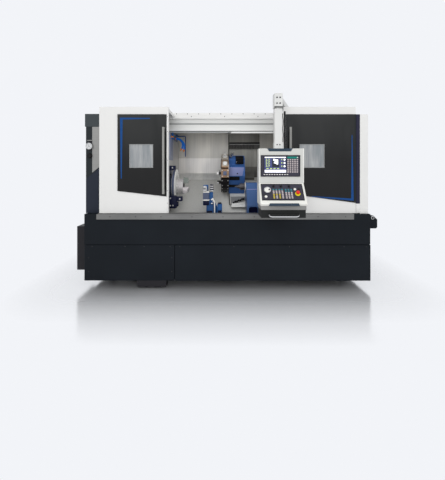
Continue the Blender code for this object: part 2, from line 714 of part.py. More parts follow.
def build_cabinets(paints):
    grey = paints["grey"]
    front = FRONT_WALL_BACK + SEAT
    panel_back = front + FRONT_PANEL_THICKNESS
    back = REAR_WALL_DEPTH + SHEET + SEAT
    floor = PAN_FLOOR + SEAT
    left = [
        (-HALF_LENGTH, front),
        (LEFT_WALL, front),
        (LEFT_WALL, panel_back),
        (LEFT_CORE_RIGHT, panel_back),
        (LEFT_CORE_RIGHT, back),
        (-HALF_LENGTH, back),
    ]
    upright("left_cabinet", grey, left, (floor, CABINET_TOP - SEAT))
    corner_x = (-HALF_LENGTH, LEFT_DOOR[0] - DOOR_GAP)
    corner_heights = (BASE_TOP + SEAT, CAP_BOTTOM - SEAT)
    corner_depth = (CORNER_FRONT, FRONT_WALL_BACK)
    slab("left_corner_panel", grey, corner_x, corner_depth, corner_heights, edge=PANEL_EDGE)
    side = -HALF_LENGTH - SEAT
    cap = [
        (side - CAP_OVERHANG, CORNER_FRONT - DOOR_GAP),
        (corner_x[1], CORNER_FRONT - DOOR_GAP),
        (corner_x[1], FRONT_WALL_BACK),
        (side, FRONT_WALL_BACK),
        (side, BASE_DEPTH),
        (side - CAP_OVERHANG, BASE_DEPTH),
    ]
    upright("left_cabinet_cap", grey, cap, (CAP_BOTTOM, CABINET_TOP))
    right = [
        (RIGHT_OPENING, front),
        (HALF_LENGTH, front),
        (HALF_LENGTH, back),
        (RIGHT_CORE_LEFT, back),
        (RIGHT_CORE_LEFT, panel_back),
        (RIGHT_OPENING, panel_back),
    ]
    upright("right_cabinet", paints["white"], right, (floor, CABINET_TOP - SEAT))
    between = (panel_back + SEAT, BEAM_FRONT - SEAT)
    roof_heights = (CABINET_TOP - ROOF_PLATE, CABINET_TOP - SEAT)
    left_x = (LEFT_CORE_RIGHT + SEAT, LEFT_WALL)
    slab("left_roof_panel", grey, left_x, between, roof_heights)
    right_x = (RIGHT_OPENING, RIGHT_CORE_LEFT - SEAT)
    slab("right_roof_panel", paints["white"], right_x, between, roof_heights)
    at_door = (DOOR_FRONT, FRONT_WALL_BACK)
    strip_x = (STRIP_LEFT, COLUMN_LEFT - SEAT)
    slab("right_corner_strip", paints["navy"], strip_x, at_door, (STRIP_BOTTOM, COLUMN_TOP), edge=PANEL_EDGE)
    column_x = (COLUMN_LEFT, COLUMN_RIGHT)
    column_heights = (BASE_TOP + SEAT, COLUMN_TOP)
    slab("right_corner_column", paints["white"], column_x, at_door, column_heights, edge=PANEL_EDGE)
    whole = (-HALF_LENGTH, HALF_LENGTH)
    slab("rear_cabinet", paints["white"], whole, (back + SEAT, BASE_DEPTH), (floor, CABINET_TOP - SEAT))


def build_inner_walls(paints):
    outline = inner_wall_outline()
    left_x = (LEFT_WALL - WALL_SHEET, LEFT_WALL)
    left = profile("left_inner_wall", paints["sheet"], outline, left_x)
    hole_x = (LEFT_WALL - 2 * WALL_SHEET, LEFT_WALL + WALL_SHEET)
    radius = NOSE_RADIUS + RUNNING
    rings = [(hole_x[0], radius), (hole_x[1], radius)]
    hole = shaft("nose_hole", None, rings, SPINDLE_DEPTH, SPINDLE_HEIGHT)
    cut(left, hole)
    profile("right_inner_wall", paints["sheet"], outline, (RIGHT_WALL, RIGHT_WALL + WALL_SHEET))


def build_top(paints):
    white = paints["white"]
    between = (LEFT_CORE_RIGHT + SEAT, RIGHT_CORE_LEFT - SEAT)
    beam = (BEAM_FRONT, BEAM_FRONT + BEAM_DEPTH)
    slab("front_top_beam", white, between, beam, (BEAM_BOTTOM, CABINET_TOP))
    lip_top = ROOF_BOTTOM - SEAT
    rail = [
        (beam[0], CABINET_TOP + SEAT),
        (beam[1], CABINET_TOP + SEAT),
        (beam[1], RAIL_TOP),
        (beam[0], RAIL_TOP),
        (beam[0], lip_top),
        (beam[0] - RAIL_LIP_REACH, lip_top),
        (beam[0] - RAIL_LIP_REACH, lip_top - RAIL_LIP_HEIGHT),
        (beam[0], lip_top - RAIL_LIP_HEIGHT),
    ]
    profile("top_rail", white, rail, (-HALF_LENGTH, COLUMN_RIGHT))
    rear = (REAR_BEAM_FRONT, REAR_BEAM_FRONT + REAR_BEAM_DEPTH)
    rear_top = CABINET_TOP - SEAT
    slab("rear_top_beam", white, between, rear, (rear_top - REAR_BEAM_HEIGHT, rear_top))
    roof = (CABINET_TOP, CABINET_TOP + ROOF_PLATE)
    slab("roof_plate", white, (-HALF_LENGTH, HALF_LENGTH), (beam[1] + SEAT, BASE_DEPTH), roof)


def build_side_boxes(paints):
    depth = (SIDE_BOX_FRONT, SIDE_BOX_FRONT + LEFT_BOX_DEPTH)
    left_x = (-HALF_LENGTH - SIDE_REACH, -HALF_LENGTH - SEAT)
    heights = (LEFT_BOX_BOTTOM, LEFT_BOX_BOTTOM + LEFT_BOX_HEIGHT)
    slab("left_terminal_box", paints["black"], left_x, depth, heights, edge=SOFT_EDGE)
    low, high = RIGHT_BOX_BOTTOM, RIGHT_BOX_BOTTOM + RIGHT_BOX_HEIGHT
    inner, outer = HALF_LENGTH + SEAT, HALF_LENGTH + SIDE_REACH
    outline = [
        (inner, low),
        (outer - RIGHT_BOX_CHAMFER / 3, low),
        (outer, low + RIGHT_BOX_CHAMFER / 3),
        (outer, high - RIGHT_BOX_CHAMFER),
        (outer - RIGHT_BOX_CHAMFER, high),
        (inner, high),
    ]
    depth = (SIDE_BOX_FRONT, SIDE_BOX_FRONT + RIGHT_BOX_DEPTH)
    front_plate("right_coolant_box", paints["anthracite"], outline, depth, edge=FINE_EDGE)


def build_headstock(paints):
    rings = [
        (LEFT_CORE_RIGHT + SEAT, HEADSTOCK_RADIUS),
        (LEFT_WALL - WALL_SHEET - SEAT, HEADSTOCK_RADIUS),
        (LEFT_WALL - WALL_SHEET - SEAT, NOSE_RADIUS),
        (FLANGE_LEFT - SEAT, NOSE_RADIUS),
    ]
    shaft("headstock", paints["blue"], rings, SPINDLE_DEPTH, SPINDLE_HEIGHT, sides=48)


def build_hose(paints):
    """A jointed coolant hose that keeps its curve, out of the left inner wall."""
    curve = bpy.data.curves.new("coolant_hose", "CURVE")
    curve.dimensions = "3D"
    curve.bevel_depth = HOSE_RADIUS
    curve.bevel_resolution = 3
    curve.use_fill_caps = True
    spline = curve.splines.new("POLY")
    spline.points.add(HOSE_STEPS)
    start = Vector((LEFT_WALL + SEAT, *place(HOSE_DEPTH, HOSE_HEIGHT)))
    spline.points[0].co = (0, 0, 0, 1)
    for step in range(HOSE_STEPS):
        angle = math.radians(HOSE_TURN) * step / (HOSE_STEPS - 1)
        across = HOSE_RADIUS + HOSE_BEND * math.sin(angle)
        spline.points[step + 1].co = (across, 0, HOSE_BEND * (math.cos(angle) - 1), 1)
    hose = bpy.data.objects.new("coolant_hose", curve)
    bpy.context.scene.collection.objects.link(hose)
    hose.location = start
    curve.materials.append(paints["blue"])


def build_pendant_arm(paints):
    """The arm over the door, leaning right as it goes back, and the head that the pendant hangs from."""
    low, high = RAIL_TOP + SEAT, ARM_TOP
    front, back = PENDANT_DEPTH - HEAD_DEPTH / 2, PENDANT_DEPTH + HEAD_DEPTH / 2
    origin = Vector((PENDANT_X, *place(front, HEAD_BOTTOM)))
    stations = [
        (front, HEAD_BOTTOM),
        (back, HEAD_BOTTOM),
        (back + HEAD_GUSSET, low),
        (BEAM_FRONT + BEAM_DEPTH, low),
    ]
    shape = bmesh.new()
    loops = []
    for depth, bottom in stations:
        middle = PENDANT_X + max(0.0, depth - back) * ARM_LEAN
        left, right = middle - ARM_WIDTH / 2, middle + ARM_WIDTH / 2
        corners = ((left, bottom), (right, bottom), (right, high), (left, high))
        loops.append([shape.verts.new(Vector((x, *place(depth, z))) - origin) for x, z in corners])
    join_loops(shape, loops)
    finish("pendant_arm", shape, paints["white"], origin, edge=SOFT_EDGE)


def build_door(paints, side, reach, glass, glass_bottom, window, handle_x):
    """A sliding door: its front, roof, dark glass with a window, and handle bar."""
    carrier = pivot(f"{side}_door_slide", reach[0], DOOR_FRONT, DOOR_BOTTOM)
    back = DOOR_FRONT + DOOR_THICKNESS
    panel = [
        (DOOR_FRONT, DOOR_BOTTOM),
        (back, DOOR_BOTTOM),
        (back, ROOF_BOTTOM),
        (BEAM_FRONT - DOOR_GAP, ROOF_BOTTOM),
        (BEAM_FRONT - DOOR_GAP, ROOF_TOP),
        (back, ROOF_TOP),
        (back, DOOR_TOP),
        (DOOR_FRONT, DOOR_TOP),
    ]
    door = profile(f"{side}_door_panel", paints["white"], panel, reach, carrier)
    outline = [
        (glass[0], glass_bottom[0]),
        (glass[1], glass_bottom[1]),
        (glass[1], GLASS_TOP),
        (glass[0], GLASS_TOP),
    ]
    glass_depth = (DOOR_FRONT - SEAT - GLASS_THICKNESS, DOOR_FRONT - SEAT)
    sheet = front_plate(f"{side}_door_glass", paints["glass"], outline, glass_depth, carrier)
    through = (glass_depth[0] - GLASS_THICKNESS, back + GLASS_THICKNESS)
    hole = slab(f"{side}_window_hole", None, window, through, WINDOW_HEIGHTS, carrier)
    cut(door, hole)
    cut(sheet, hole)
    pane_x = (window[0] + WINDOW_GAP, window[1] - WINDOW_GAP)
    pane_heights = (WINDOW_HEIGHTS[0] + WINDOW_GAP, WINDOW_HEIGHTS[1] - WINDOW_GAP)
    pane_depth = (glass_depth[0] + PANE_SET_BACK, glass_depth[0] + PANE_SET_BACK + PANE_THICKNESS)
    slab(f"{side}_door_window", paints["pane"], pane_x, pane_depth, pane_heights, carrier)
    low, high = HANDLE_BOTTOM, HANDLE_BOTTOM + HANDLE_LENGTH
    rest = glass_depth[0] - SEAT
    inside = rest - HANDLE_STAND_OFF
    bar = [
        (rest, low),
        (rest, low + HANDLE_WIDTH),
        (inside, low + HANDLE_WIDTH),
        (inside, high - HANDLE_WIDTH),
        (rest, high - HANDLE_WIDTH),
        (rest, high),
        (inside - HANDLE_BAR, high),
        (inside - HANDLE_BAR, low),
    ]
    bar_x = (handle_x - HANDLE_WIDTH / 2, handle_x + HANDLE_WIDTH / 2)
    profile(f"{side}_door_handle", paints["chrome"], bar, bar_x, carrier, edge=FINE_EDGE)


def radial_block(name, material, x, radial, width, centre, angle, carrier=None):
    """A block that stands out from a line along X, between two distances from it."""
    out = Vector((math.cos(angle), math.sin(angle)))
    across = Vector((-out.y, out.x)) * (width / 2)
    middle = Vector(centre)
    near, far = middle + out * radial[0], middle + out * radial[1]
    outline = [near - across, far - across, far + across, near + across]
    return profile(name, material, [tuple(point) for point in outline], x, carrier)


def build_chuck(paints):
    carrier = pivot("chuck_axis", FLANGE_LEFT, SPINDLE_DEPTH, SPINDLE_HEIGHT)
    step = FLANGE_LEFT + FLANGE_THICKNESS
    face = step + CHUCK_THICKNESS
    rings = [
        (FLANGE_LEFT, FLANGE_RADIUS),
        (step, FLANGE_RADIUS),
        (step, CHUCK_RADIUS),
        (face, CHUCK_RADIUS),
    ]
    shaft("chuck_body", paints["steel"], rings, SPINDLE_DEPTH, SPINDLE_HEIGHT, 48, carrier)
    centre = (SPINDLE_DEPTH, SPINDLE_HEIGHT)
    for number in range(JAW_COUNT):
        angle = math.radians(90) + math.tau * number / JAW_COUNT
        x = (face + SEAT, face + SEAT + JAW_LENGTH)
        reach = (JAW_INNER, JAW_OUTER)
        radial_block(f"jaw_{number + 1}", paints["steel"], x, reach, JAW_WIDTH, centre, angle, carrier)


def build_saddle(paints):
    toe = up_ways(0, 0)
    carrier = pivot("saddle_slide", SADDLE_BODY[0], *toe)
    sheet = paints["sheet"]
    over = 2 * (SHEET + RUNNING) - SHEET
    way_cover("saddle_cover", sheet, SADDLE_COVER, over, over + SHEET, carrier)
    under = over + SHEET + SEAT
    body = ways_line(SADDLE_RISE, SADDLE_START, SADDLE_WALL_TOP)
    body += ways_line(under, SADDLE_START, SADDLE_WALL_TOP)[::-1]
    profile("saddle_body", sheet, body, SADDLE_BODY, carrier)
    for side, x in (("left", LEFT_SEGMENT), ("right", RIGHT_SEGMENT)):
        follower = pivot(f"{side}_segment_slide", x[0], *toe)
        way_cover(f"{side}_cover_segment", sheet, x, RUNNING, RUNNING + SHEET, follower)
    build_bellows(paints, carrier)


def build_bellows(paints, carrier):
    """The folded cover across the saddle's upright part."""
    back = REAR_WALL_DEPTH - SADDLE_RISE - SEAT
    outline = [(SADDLE_BODY[1], back), (SADDLE_BODY[0], back)]
    pitch = (SADDLE_BODY[1] - SADDLE_BODY[0]) / BELLOWS_FOLDS
    for fold in range(BELLOWS_FOLDS):
        left = SADDLE_BODY[0] + fold * pitch
        outline.append((left, back - BELLOWS_VALLEY))
        outline.append((left + pitch / 2, back - BELLOWS_DEPTH))
    outline.append((SADDLE_BODY[1], back - BELLOWS_VALLEY))
    heights = (BELLOWS_TOP - BELLOWS_HEIGHT, BELLOWS_TOP)
    upright("cross_slide_bellows", paints["rubber"], outline, heights, carrier)


def build_turret(paints):
    along = SPINDLE_UP_WAYS + TURRET_OUT
    centre = up_ways(along, SWING_OVER_WAYS)
    slide = pivot("cross_slide", TURRET_RIGHT, *centre)
    foot = SADDLE_RISE + SEAT
    housing = [
        up_ways(along + u, n)
        for u, n in (
            (-HOUSING_FOOT, foot),
            (HOUSING_HEEL, foot),
            (HOUSING_HEEL, SWING_OVER_WAYS + HOUSING_HALF + HOUSING_CREST),
            (0, SWING_OVER_WAYS + HOUSING_HALF + HOUSING_CREST),
            (0, SWING_OVER_WAYS + HOUSING_HALF),
            (-HOUSING_HALF / 2, SWING_OVER_WAYS + HOUSING_HALF),
            (-HOUSING_FOOT, SWING_OVER_WAYS + HOUSING_HALF / 4),
        )
    ]
    x = (TURRET_RIGHT + SEAT, TURRET_RIGHT + SEAT + HOUSING_WIDTH)
    profile("turret_housing", paints["blue"], housing, x, slide, edge=SOFT_EDGE)
    axis = pivot("turret_axis", TURRET_LEFT, *centre)
    rings = [
        (TURRET_LEFT, TURRET_RADIUS - TURRET_EDGE),
        (TURRET_LEFT + TURRET_EDGE, TURRET_RADIUS),
        (TURRET_RIGHT - TURRET_EDGE, TURRET_RADIUS),
        (TURRET_RIGHT, TURRET_RADIUS - TURRET_EDGE),
    ]
    disc = shaft("turret_disc", paints["iron"], rings, *centre, TURRET_STATIONS, axis)
    disc.data.shade_flat()
    for station in range(1, TURRET_STATIONS, 2):
        angle = SLANT + math.pi + math.tau * station / TURRET_STATIONS
        seat = TURRET_RADIUS - 2 * TURRET_EDGE
        block_x = (TURRET_LEFT + TURRET_EDGE, TURRET_RIGHT - TURRET_EDGE)
        reach = (seat, HOLDER_REACH)
        block = radial_block(f"holder_{station}", None, block_x, reach, TOOL_WIDTH, centre, angle, axis)
        join(disc, block)
        shank_x = (TURRET_LEFT - TOOL_OVERHANG, TURRET_LEFT + TOOL_OVERHANG)
        reach = (HOLDER_REACH - TOOL_SHANK, TOOL_REACH)
        shank = radial_block(f"shank_{station}", None, shank_x, reach, TOOL_SHANK, centre, angle, axis)
        join(disc, shank)


def build_tailstock(paints):
    carrier = pivot("tailstock_slide", TAILSTOCK_LEFT, SPINDLE_DEPTH, SPINDLE_HEIGHT)
    body_x = (TAILSTOCK_LEFT, TAILSTOCK_LEFT + TAILSTOCK_LENGTH)
    foot = GUIDE_TOP + GUIDE_RAIL + SEAT
    toe = up_ways(0, 0)
    front = GUIDE_FRONT + GUIDE_INSET
    heel = GUIDE_BACK - WALL_SHEET
    back = SPINDLE_DEPTH + TAILSTOCK_REACH
    outline = [
        (front, foot),
        (heel, foot),
        (heel, toe[1] + TAILSTOCK_OVER_WAYS),
        (back, toe[1] + 2 * TAILSTOCK_OVER_WAYS),
        (back, SPINDLE_HEIGHT - TAILSTOCK_CROWN / 4),
        (SPINDLE_DEPTH + TAILSTOCK_REACH / 2, SPINDLE_HEIGHT + TAILSTOCK_CROWN),
        (SPINDLE_DEPTH - TAILSTOCK_REACH, SPINDLE_HEIGHT + TAILSTOCK_CROWN),
        (SPINDLE_DEPTH - 2 * TAILSTOCK_REACH, SPINDLE_HEIGHT - TAILSTOCK_CROWN / 2),
        (front, SPINDLE_HEIGHT - 4 * TAILSTOCK_CROWN),
    ]
    body = profile("tailstock", paints["blue"], outline, body_x, carrier, edge=SOFT_EDGE)
    socket = (TAILSTOCK_LEFT - QUILL_RADIUS, QUILL_END + QUILL_RADIUS)
    radius = QUILL_RADIUS + RUNNING
    bore_rings = [(socket[0], radius), (socket[1], radius)]
    cut(body, shaft("quill_bore", None, bore_rings, SPINDLE_DEPTH, SPINDLE_HEIGHT, carrier=carrier))
    quill = pivot("quill_slide", QUILL_TIP_X, SPINDLE_DEPTH, SPINDLE_HEIGHT)
    shoulder = QUILL_TIP_X + CENTRE_LENGTH
    rings = [
        (QUILL_TIP_X, CENTRE_TIP_RADIUS),
        (shoulder, CENTRE_RADIUS),
        (shoulder, QUILL_RADIUS),
        (QUILL_END, QUILL_RADIUS),
    ]
    shaft("tailstock_quill", paints["chrome"], rings, SPINDLE_DEPTH, SPINDLE_HEIGHT, carrier=quill)


def cradle_outline():
    """The steady rest's fork, open upwards around the spindle axis."""
    inner, outer = CRADLE_INNER, CRADLE_INNER + CRADLE_WALL
    foot = GUIDE_TOP + GUIDE_RAIL + SEAT
    front = SPINDLE_DEPTH - STEADY_FRONT
    heel = GUIDE_BACK - WALL_SHEET - CRADLE_INSET
    low = foot + CRADLE_INSET
    outline = [(front, low), (heel, low), (heel, TOE_HEIGHT + TAILSTOCK_OVER_WAYS)]
    lift = math.radians(CRADLE_LIFT)
    outline.append((SPINDLE_DEPTH + outer, SPINDLE_HEIGHT))
    outline.append((SPINDLE_DEPTH + outer * math.cos(lift), SPINDLE_HEIGHT + outer * math.sin(lift)))
    sweep = math.pi + 2 * lift
    for step in range(CRADLE_STEPS + 1):
        angle = lift - sweep * step / CRADLE_STEPS
        outline.append((SPINDLE_DEPTH + inner * math.cos(angle), SPINDLE_HEIGHT + inner * math.sin(angle)))
    outline.append((SPINDLE_DEPTH - outer * math.cos(lift), SPINDLE_HEIGHT + outer * math.sin(lift)))
    outline.append((front, SPINDLE_HEIGHT - inner))
    return outline


def build_steady_rest(paints):
    carrier = pivot("steady_slide", STEADY_X[0], SPINDLE_DEPTH, SPINDLE_HEIGHT)
    blue = paints["blue"]
    foot = GUIDE_TOP + GUIDE_RAIL + SEAT
    depth = (GUIDE_FRONT + GUIDE_INSET, GUIDE_BACK - WALL_SHEET)
    shoe = slab("steady_rest", blue, STEADY_X, depth, (foot, foot + STEADY_SHOE), carrier)
    join(shoe, profile("steady_cradle", None, cradle_outline(), STEADY_CRADLE_X, carrier))
    cradle_front = SPINDLE_DEPTH - STEADY_FRONT
    column_depth = (cradle_front + CRADLE_INSET, depth[1] - STEADY_SHOE / 4)
    column_x = (STEADY_CRADLE_X[1] - STEADY_SHOE / 2, STEADY_COLUMN_RIGHT)
    heights = (foot + STEADY_SHOE / 2, SPINDLE_HEIGHT - CRADLE_INNER)
    join(shoe, slab("steady_column", None, column_x, column_depth, heights, carrier))
    middle = sum(column_depth) / 2
    gusset = [
        (STEADY_COLUMN_RIGHT - STEADY_SHOE / 4, heights[0]),
        (STEADY_X[1] - STEADY_SHOE / 4, heights[0]),
        (STEADY_X[1] - STEADY_SHOE / 4, foot + GUSSET_RISE),
        (STEADY_COLUMN_RIGHT - STEADY_SHOE / 4, heights[1] - STEADY_SHOE),
    ]
    gusset_depth = (middle - GUSSET_THICKNESS / 2, middle + GUSSET_THICKNESS / 2)
    join(shoe, front_plate("steady_gusset", None, gusset, gusset_depth, carrier))
    block_depth = (cradle_front - SEAT - STEADY_BLOCK, cradle_front - SEAT)
    block_x = (STEADY_CRADLE_X[0] + SHEET, STEADY_CRADLE_X[0] + SHEET + STEADY_BLOCK)
    top = SPINDLE_HEIGHT - STEADY_BLOCK_DROP
    block_heights = (top - STEADY_BLOCK_HEIGHT, top)
    slab("steady_rest_block", paints["grey"], block_x, block_depth, block_heights, carrier, edge=PANEL_EDGE)


def on_console(along, out):
    """The (depth, height) of a point down the sloping face from the fold, and out from it."""
    down = Vector((-SLOPE_REACH, -SLOPE_HEIGHT)).normalized()
    normal = Vector((down.y, -down.x))
    point = Vector((CONSOLE_FACE, CONSOLE_FOLD)) + down * along + normal * out
    return (point.x, point.y)


def console_angle():
    """How far the sloping face's normal is turned from straight up, about X."""
    return math.atan2(SLOPE_HEIGHT, SLOPE_REACH)


def knob(name, material, x, along, out, radius, carrier):
    """A round piece that stands on the console's sloping face."""
    base = on_console(along, (out[0] + out[1]) / 2)
    shape = bmesh.new()
    bmesh.ops.create_cone(
        shape, cap_ends=True, segments=24, radius1=radius, radius2=radius, depth=out[1] - out[0]
    )
    bmesh.ops.rotate(shape, matrix=Matrix.Rotation(console_angle(), 3, "X"), verts=shape.verts)
    return finish(name, shape, material, Vector((x, *place(*base))), carrier, smooth=True)


def build_pendant(paints):
    carrier = pivot("pendant_swivel", PENDANT_X, PENDANT_DEPTH, HEAD_BOTTOM)
    half = MAST_WIDTH / 2
    mast_x = (PENDANT_X - half, PENDANT_X + half)
    mast_depth = (PENDANT_DEPTH - half, PENDANT_DEPTH + half)
    heights = (CONSOLE_TOP + SEAT, HEAD_BOTTOM - SWIVEL_GAP)
    mast = slab("pendant_mast", paints["white"], mast_x, mast_depth, heights, carrier)
    pin_heights = (heights[1] - SWIVEL_GAP, HEAD_BOTTOM - SEAT)
    pin = post("swivel_pin", None, PENDANT_X, PENDANT_DEPTH, pin_heights, SWIVEL_RADIUS, carrier=carrier)
    join(mast, pin)
    console = [
        (CONSOLE_FACE, CONSOLE_TOP),
        (CONSOLE_BACK, CONSOLE_TOP),
        (CONSOLE_BACK, CONSOLE_BOTTOM),
        (CONSOLE_TOE + CONSOLE_CHIN - CONSOLE_BOTTOM, CONSOLE_BOTTOM),
        (CONSOLE_TOE, CONSOLE_CHIN),
        (CONSOLE_FACE, CONSOLE_FOLD),
    ]
    profile("console", paints["white"], console, CONSOLE_X, carrier, edge=SOFT_EDGE)
    screen_depth = (CONSOLE_FACE - SEAT - CONSOLE_PLATE, CONSOLE_FACE - SEAT)
    display_left = CONSOLE_LEFT + DISPLAY_INSET
    display_x = (display_left, display_left + DISPLAY_WIDTH)
    display_top = CONSOLE_TOP - DISPLAY_DROP
    display_heights = (display_top - DISPLAY_HEIGHT, display_top)
    slab("display_panel", paints["grey"], display_x, screen_depth, display_heights, carrier, edge=PLATE_EDGE)
    start, end = CONTROL_START, CONTROL_START + CONTROL_LENGTH
    plate = [
        on_console(start, SEAT),
        on_console(end, SEAT),
        on_console(end, SEAT + CONSOLE_PLATE),
        on_console(start, SEAT + CONSOLE_PLATE),
    ]
    control_left = CONSOLE_LEFT + CONTROL_INSET
    profile("control_panel", paints["grey"], plate, (control_left, control_left + CONTROL_WIDTH), carrier)
    over = CONSOLE_PLATE + 2 * SEAT
    stop = (over, over + BUTTON_HEIGHT)
    stop_x = CONSOLE_X[1] - BUTTON_INSET
    knob("stop_button", paints["red"], stop_x, BUTTON_DOWN, stop, BUTTON_RADIUS, carrier)
    wheel_x = CONSOLE_LEFT + WHEEL_INSET
    wheel_axis = pivot("handwheel_axis", wheel_x, *on_console(WHEEL_DOWN, over), carrier)
    wheel = (over, over + WHEEL_HEIGHT)
    knob("handwheel", paints["chrome"], wheel_x, WHEEL_DOWN, wheel, WHEEL_RADIUS, wheel_axis)
    build_tray(paints, carrier)


def build_tray(paints, carrier):
    """The tray under the console, with a bar handle across its front."""
    x = (CONSOLE_X[0] + TRAY_INSET, CONSOLE_X[1] - TRAY_INSET)
    depth = (TRAY_FRONT, CONSOLE_BACK - TRAY_INSET)
    tray = slab("pendant_tray", paints["black"], x, depth, (TRAY_BOTTOM, CONSOLE_BOTTOM - SEAT), carrier)
    front, bar = -PENDANT_REACH, TRAY_BAR
    inside = TRAY_FRONT + TRAY_INSET
    left = CONSOLE_LEFT + TRAY_HANDLE_INSET
    right = left + TRAY_HANDLE_WIDTH
    outline = [
        (left, inside),
        (left, front),
        (right, front),
        (right, inside),
        (right - bar, inside),
        (right - bar, front + bar),
        (left + bar, front + bar),
        (left + bar, inside),
    ]
    middle = TRAY_BOTTOM + TRAY_HANDLE_RISE
    join(tray, upright("tray_handle", None, outline, (middle - bar / 2, middle + bar / 2), carrier))


def main():
    clear_scene()
    paints = make_paints()
    build_base(paints)
    build_bed(paints)
    build_cabinets(paints)
    build_inner_walls(paints)
    build_top(paints)
    build_side_boxes(paints)
    build_headstock(paints)
    build_hose(paints)
    build_pendant_arm(paints)
    build_door(paints, "left", LEFT_DOOR, LEFT_GLASS, LEFT_GLASS_BOTTOM, LEFT_WINDOW, LEFT_HANDLE_X)
    build_door(paints, "right", RIGHT_DOOR, RIGHT_GLASS, RIGHT_GLASS_BOTTOM, RIGHT_WINDOW, RIGHT_HANDLE_X)
    build_chuck(paints)
    build_saddle(paints)
    build_turret(paints)
    build_tailstock(paints)
    build_steady_rest(paints)
    build_pendant(paints)


main()
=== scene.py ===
import json
import math

import bmesh
import bpy
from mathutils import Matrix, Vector

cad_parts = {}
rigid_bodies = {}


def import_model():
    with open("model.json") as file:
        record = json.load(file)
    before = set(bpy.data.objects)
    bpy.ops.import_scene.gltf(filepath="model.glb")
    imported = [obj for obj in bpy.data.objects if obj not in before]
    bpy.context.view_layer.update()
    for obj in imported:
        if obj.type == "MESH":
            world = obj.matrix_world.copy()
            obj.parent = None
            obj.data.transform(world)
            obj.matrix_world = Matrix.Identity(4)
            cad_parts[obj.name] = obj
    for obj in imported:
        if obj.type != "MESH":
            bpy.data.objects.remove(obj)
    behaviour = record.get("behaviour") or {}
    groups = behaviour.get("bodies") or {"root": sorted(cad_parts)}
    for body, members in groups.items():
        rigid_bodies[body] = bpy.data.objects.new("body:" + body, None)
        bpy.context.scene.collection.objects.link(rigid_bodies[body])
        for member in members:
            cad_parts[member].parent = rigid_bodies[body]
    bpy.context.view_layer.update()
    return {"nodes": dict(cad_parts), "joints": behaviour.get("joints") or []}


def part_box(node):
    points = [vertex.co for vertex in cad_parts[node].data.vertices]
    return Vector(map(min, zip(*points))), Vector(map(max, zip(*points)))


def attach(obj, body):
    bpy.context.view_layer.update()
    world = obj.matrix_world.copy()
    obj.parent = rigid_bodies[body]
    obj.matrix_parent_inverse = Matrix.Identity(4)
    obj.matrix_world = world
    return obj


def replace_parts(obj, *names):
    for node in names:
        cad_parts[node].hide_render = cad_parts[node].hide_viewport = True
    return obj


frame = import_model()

joints = {joint["name"]: joint for joint in frame["joints"]}

# The base's front face. A depth is measured back from it.
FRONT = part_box("upper_front_panel")[0].y
SLANT = math.radians(30)
TO_FRONT = (0, -1, 0)
TO_RIGHT = (1, 0, 0)
UPWARDS = (0, 0, 1)

# The photograph's frame and view, in pixels
PHOTO_HEIGHT = 480
FOCAL_LENGTH = 303.3
HORIZON_ROW = 168
SENSOR = 36.0
CAMERA_PLACE = (-0.0555, FRONT - 3.5, 1.394)

# Added pieces stand off the faces that they lie on, or reach under an edge, by one of these
TIGHT = 0.0002
SEATED = 0.0003
CLEAR = 0.0004
# How thick the blue film on the doors is
FILM = 0.0006
# Edges steeper than the first are drawn sharp on added pieces and rounded on refined CAD shapes.
# Edges steeper than the second stay sharp on a refined shape once it is rounded.
SHARP_EDGE = math.radians(35)
REFINED_EDGE = math.radians(30)
# The grain of sprayed paint, in bumps a metre
PEEL_GRAIN = 420.0


# Materials

def linear(red, green, blue):
    """An sRGB colour of 0 to 255 as linear values."""
    def channel(value):
        value /= 255
        return value / 12.92 if value <= 0.04045 else ((value + 0.055) / 1.055) ** 2.4
    return (channel(red), channel(green), channel(blue), 1.0)


def scaled(colour, factor):
    return tuple(min(1.0, part * factor) for part in colour[:3]) + (1.0,)


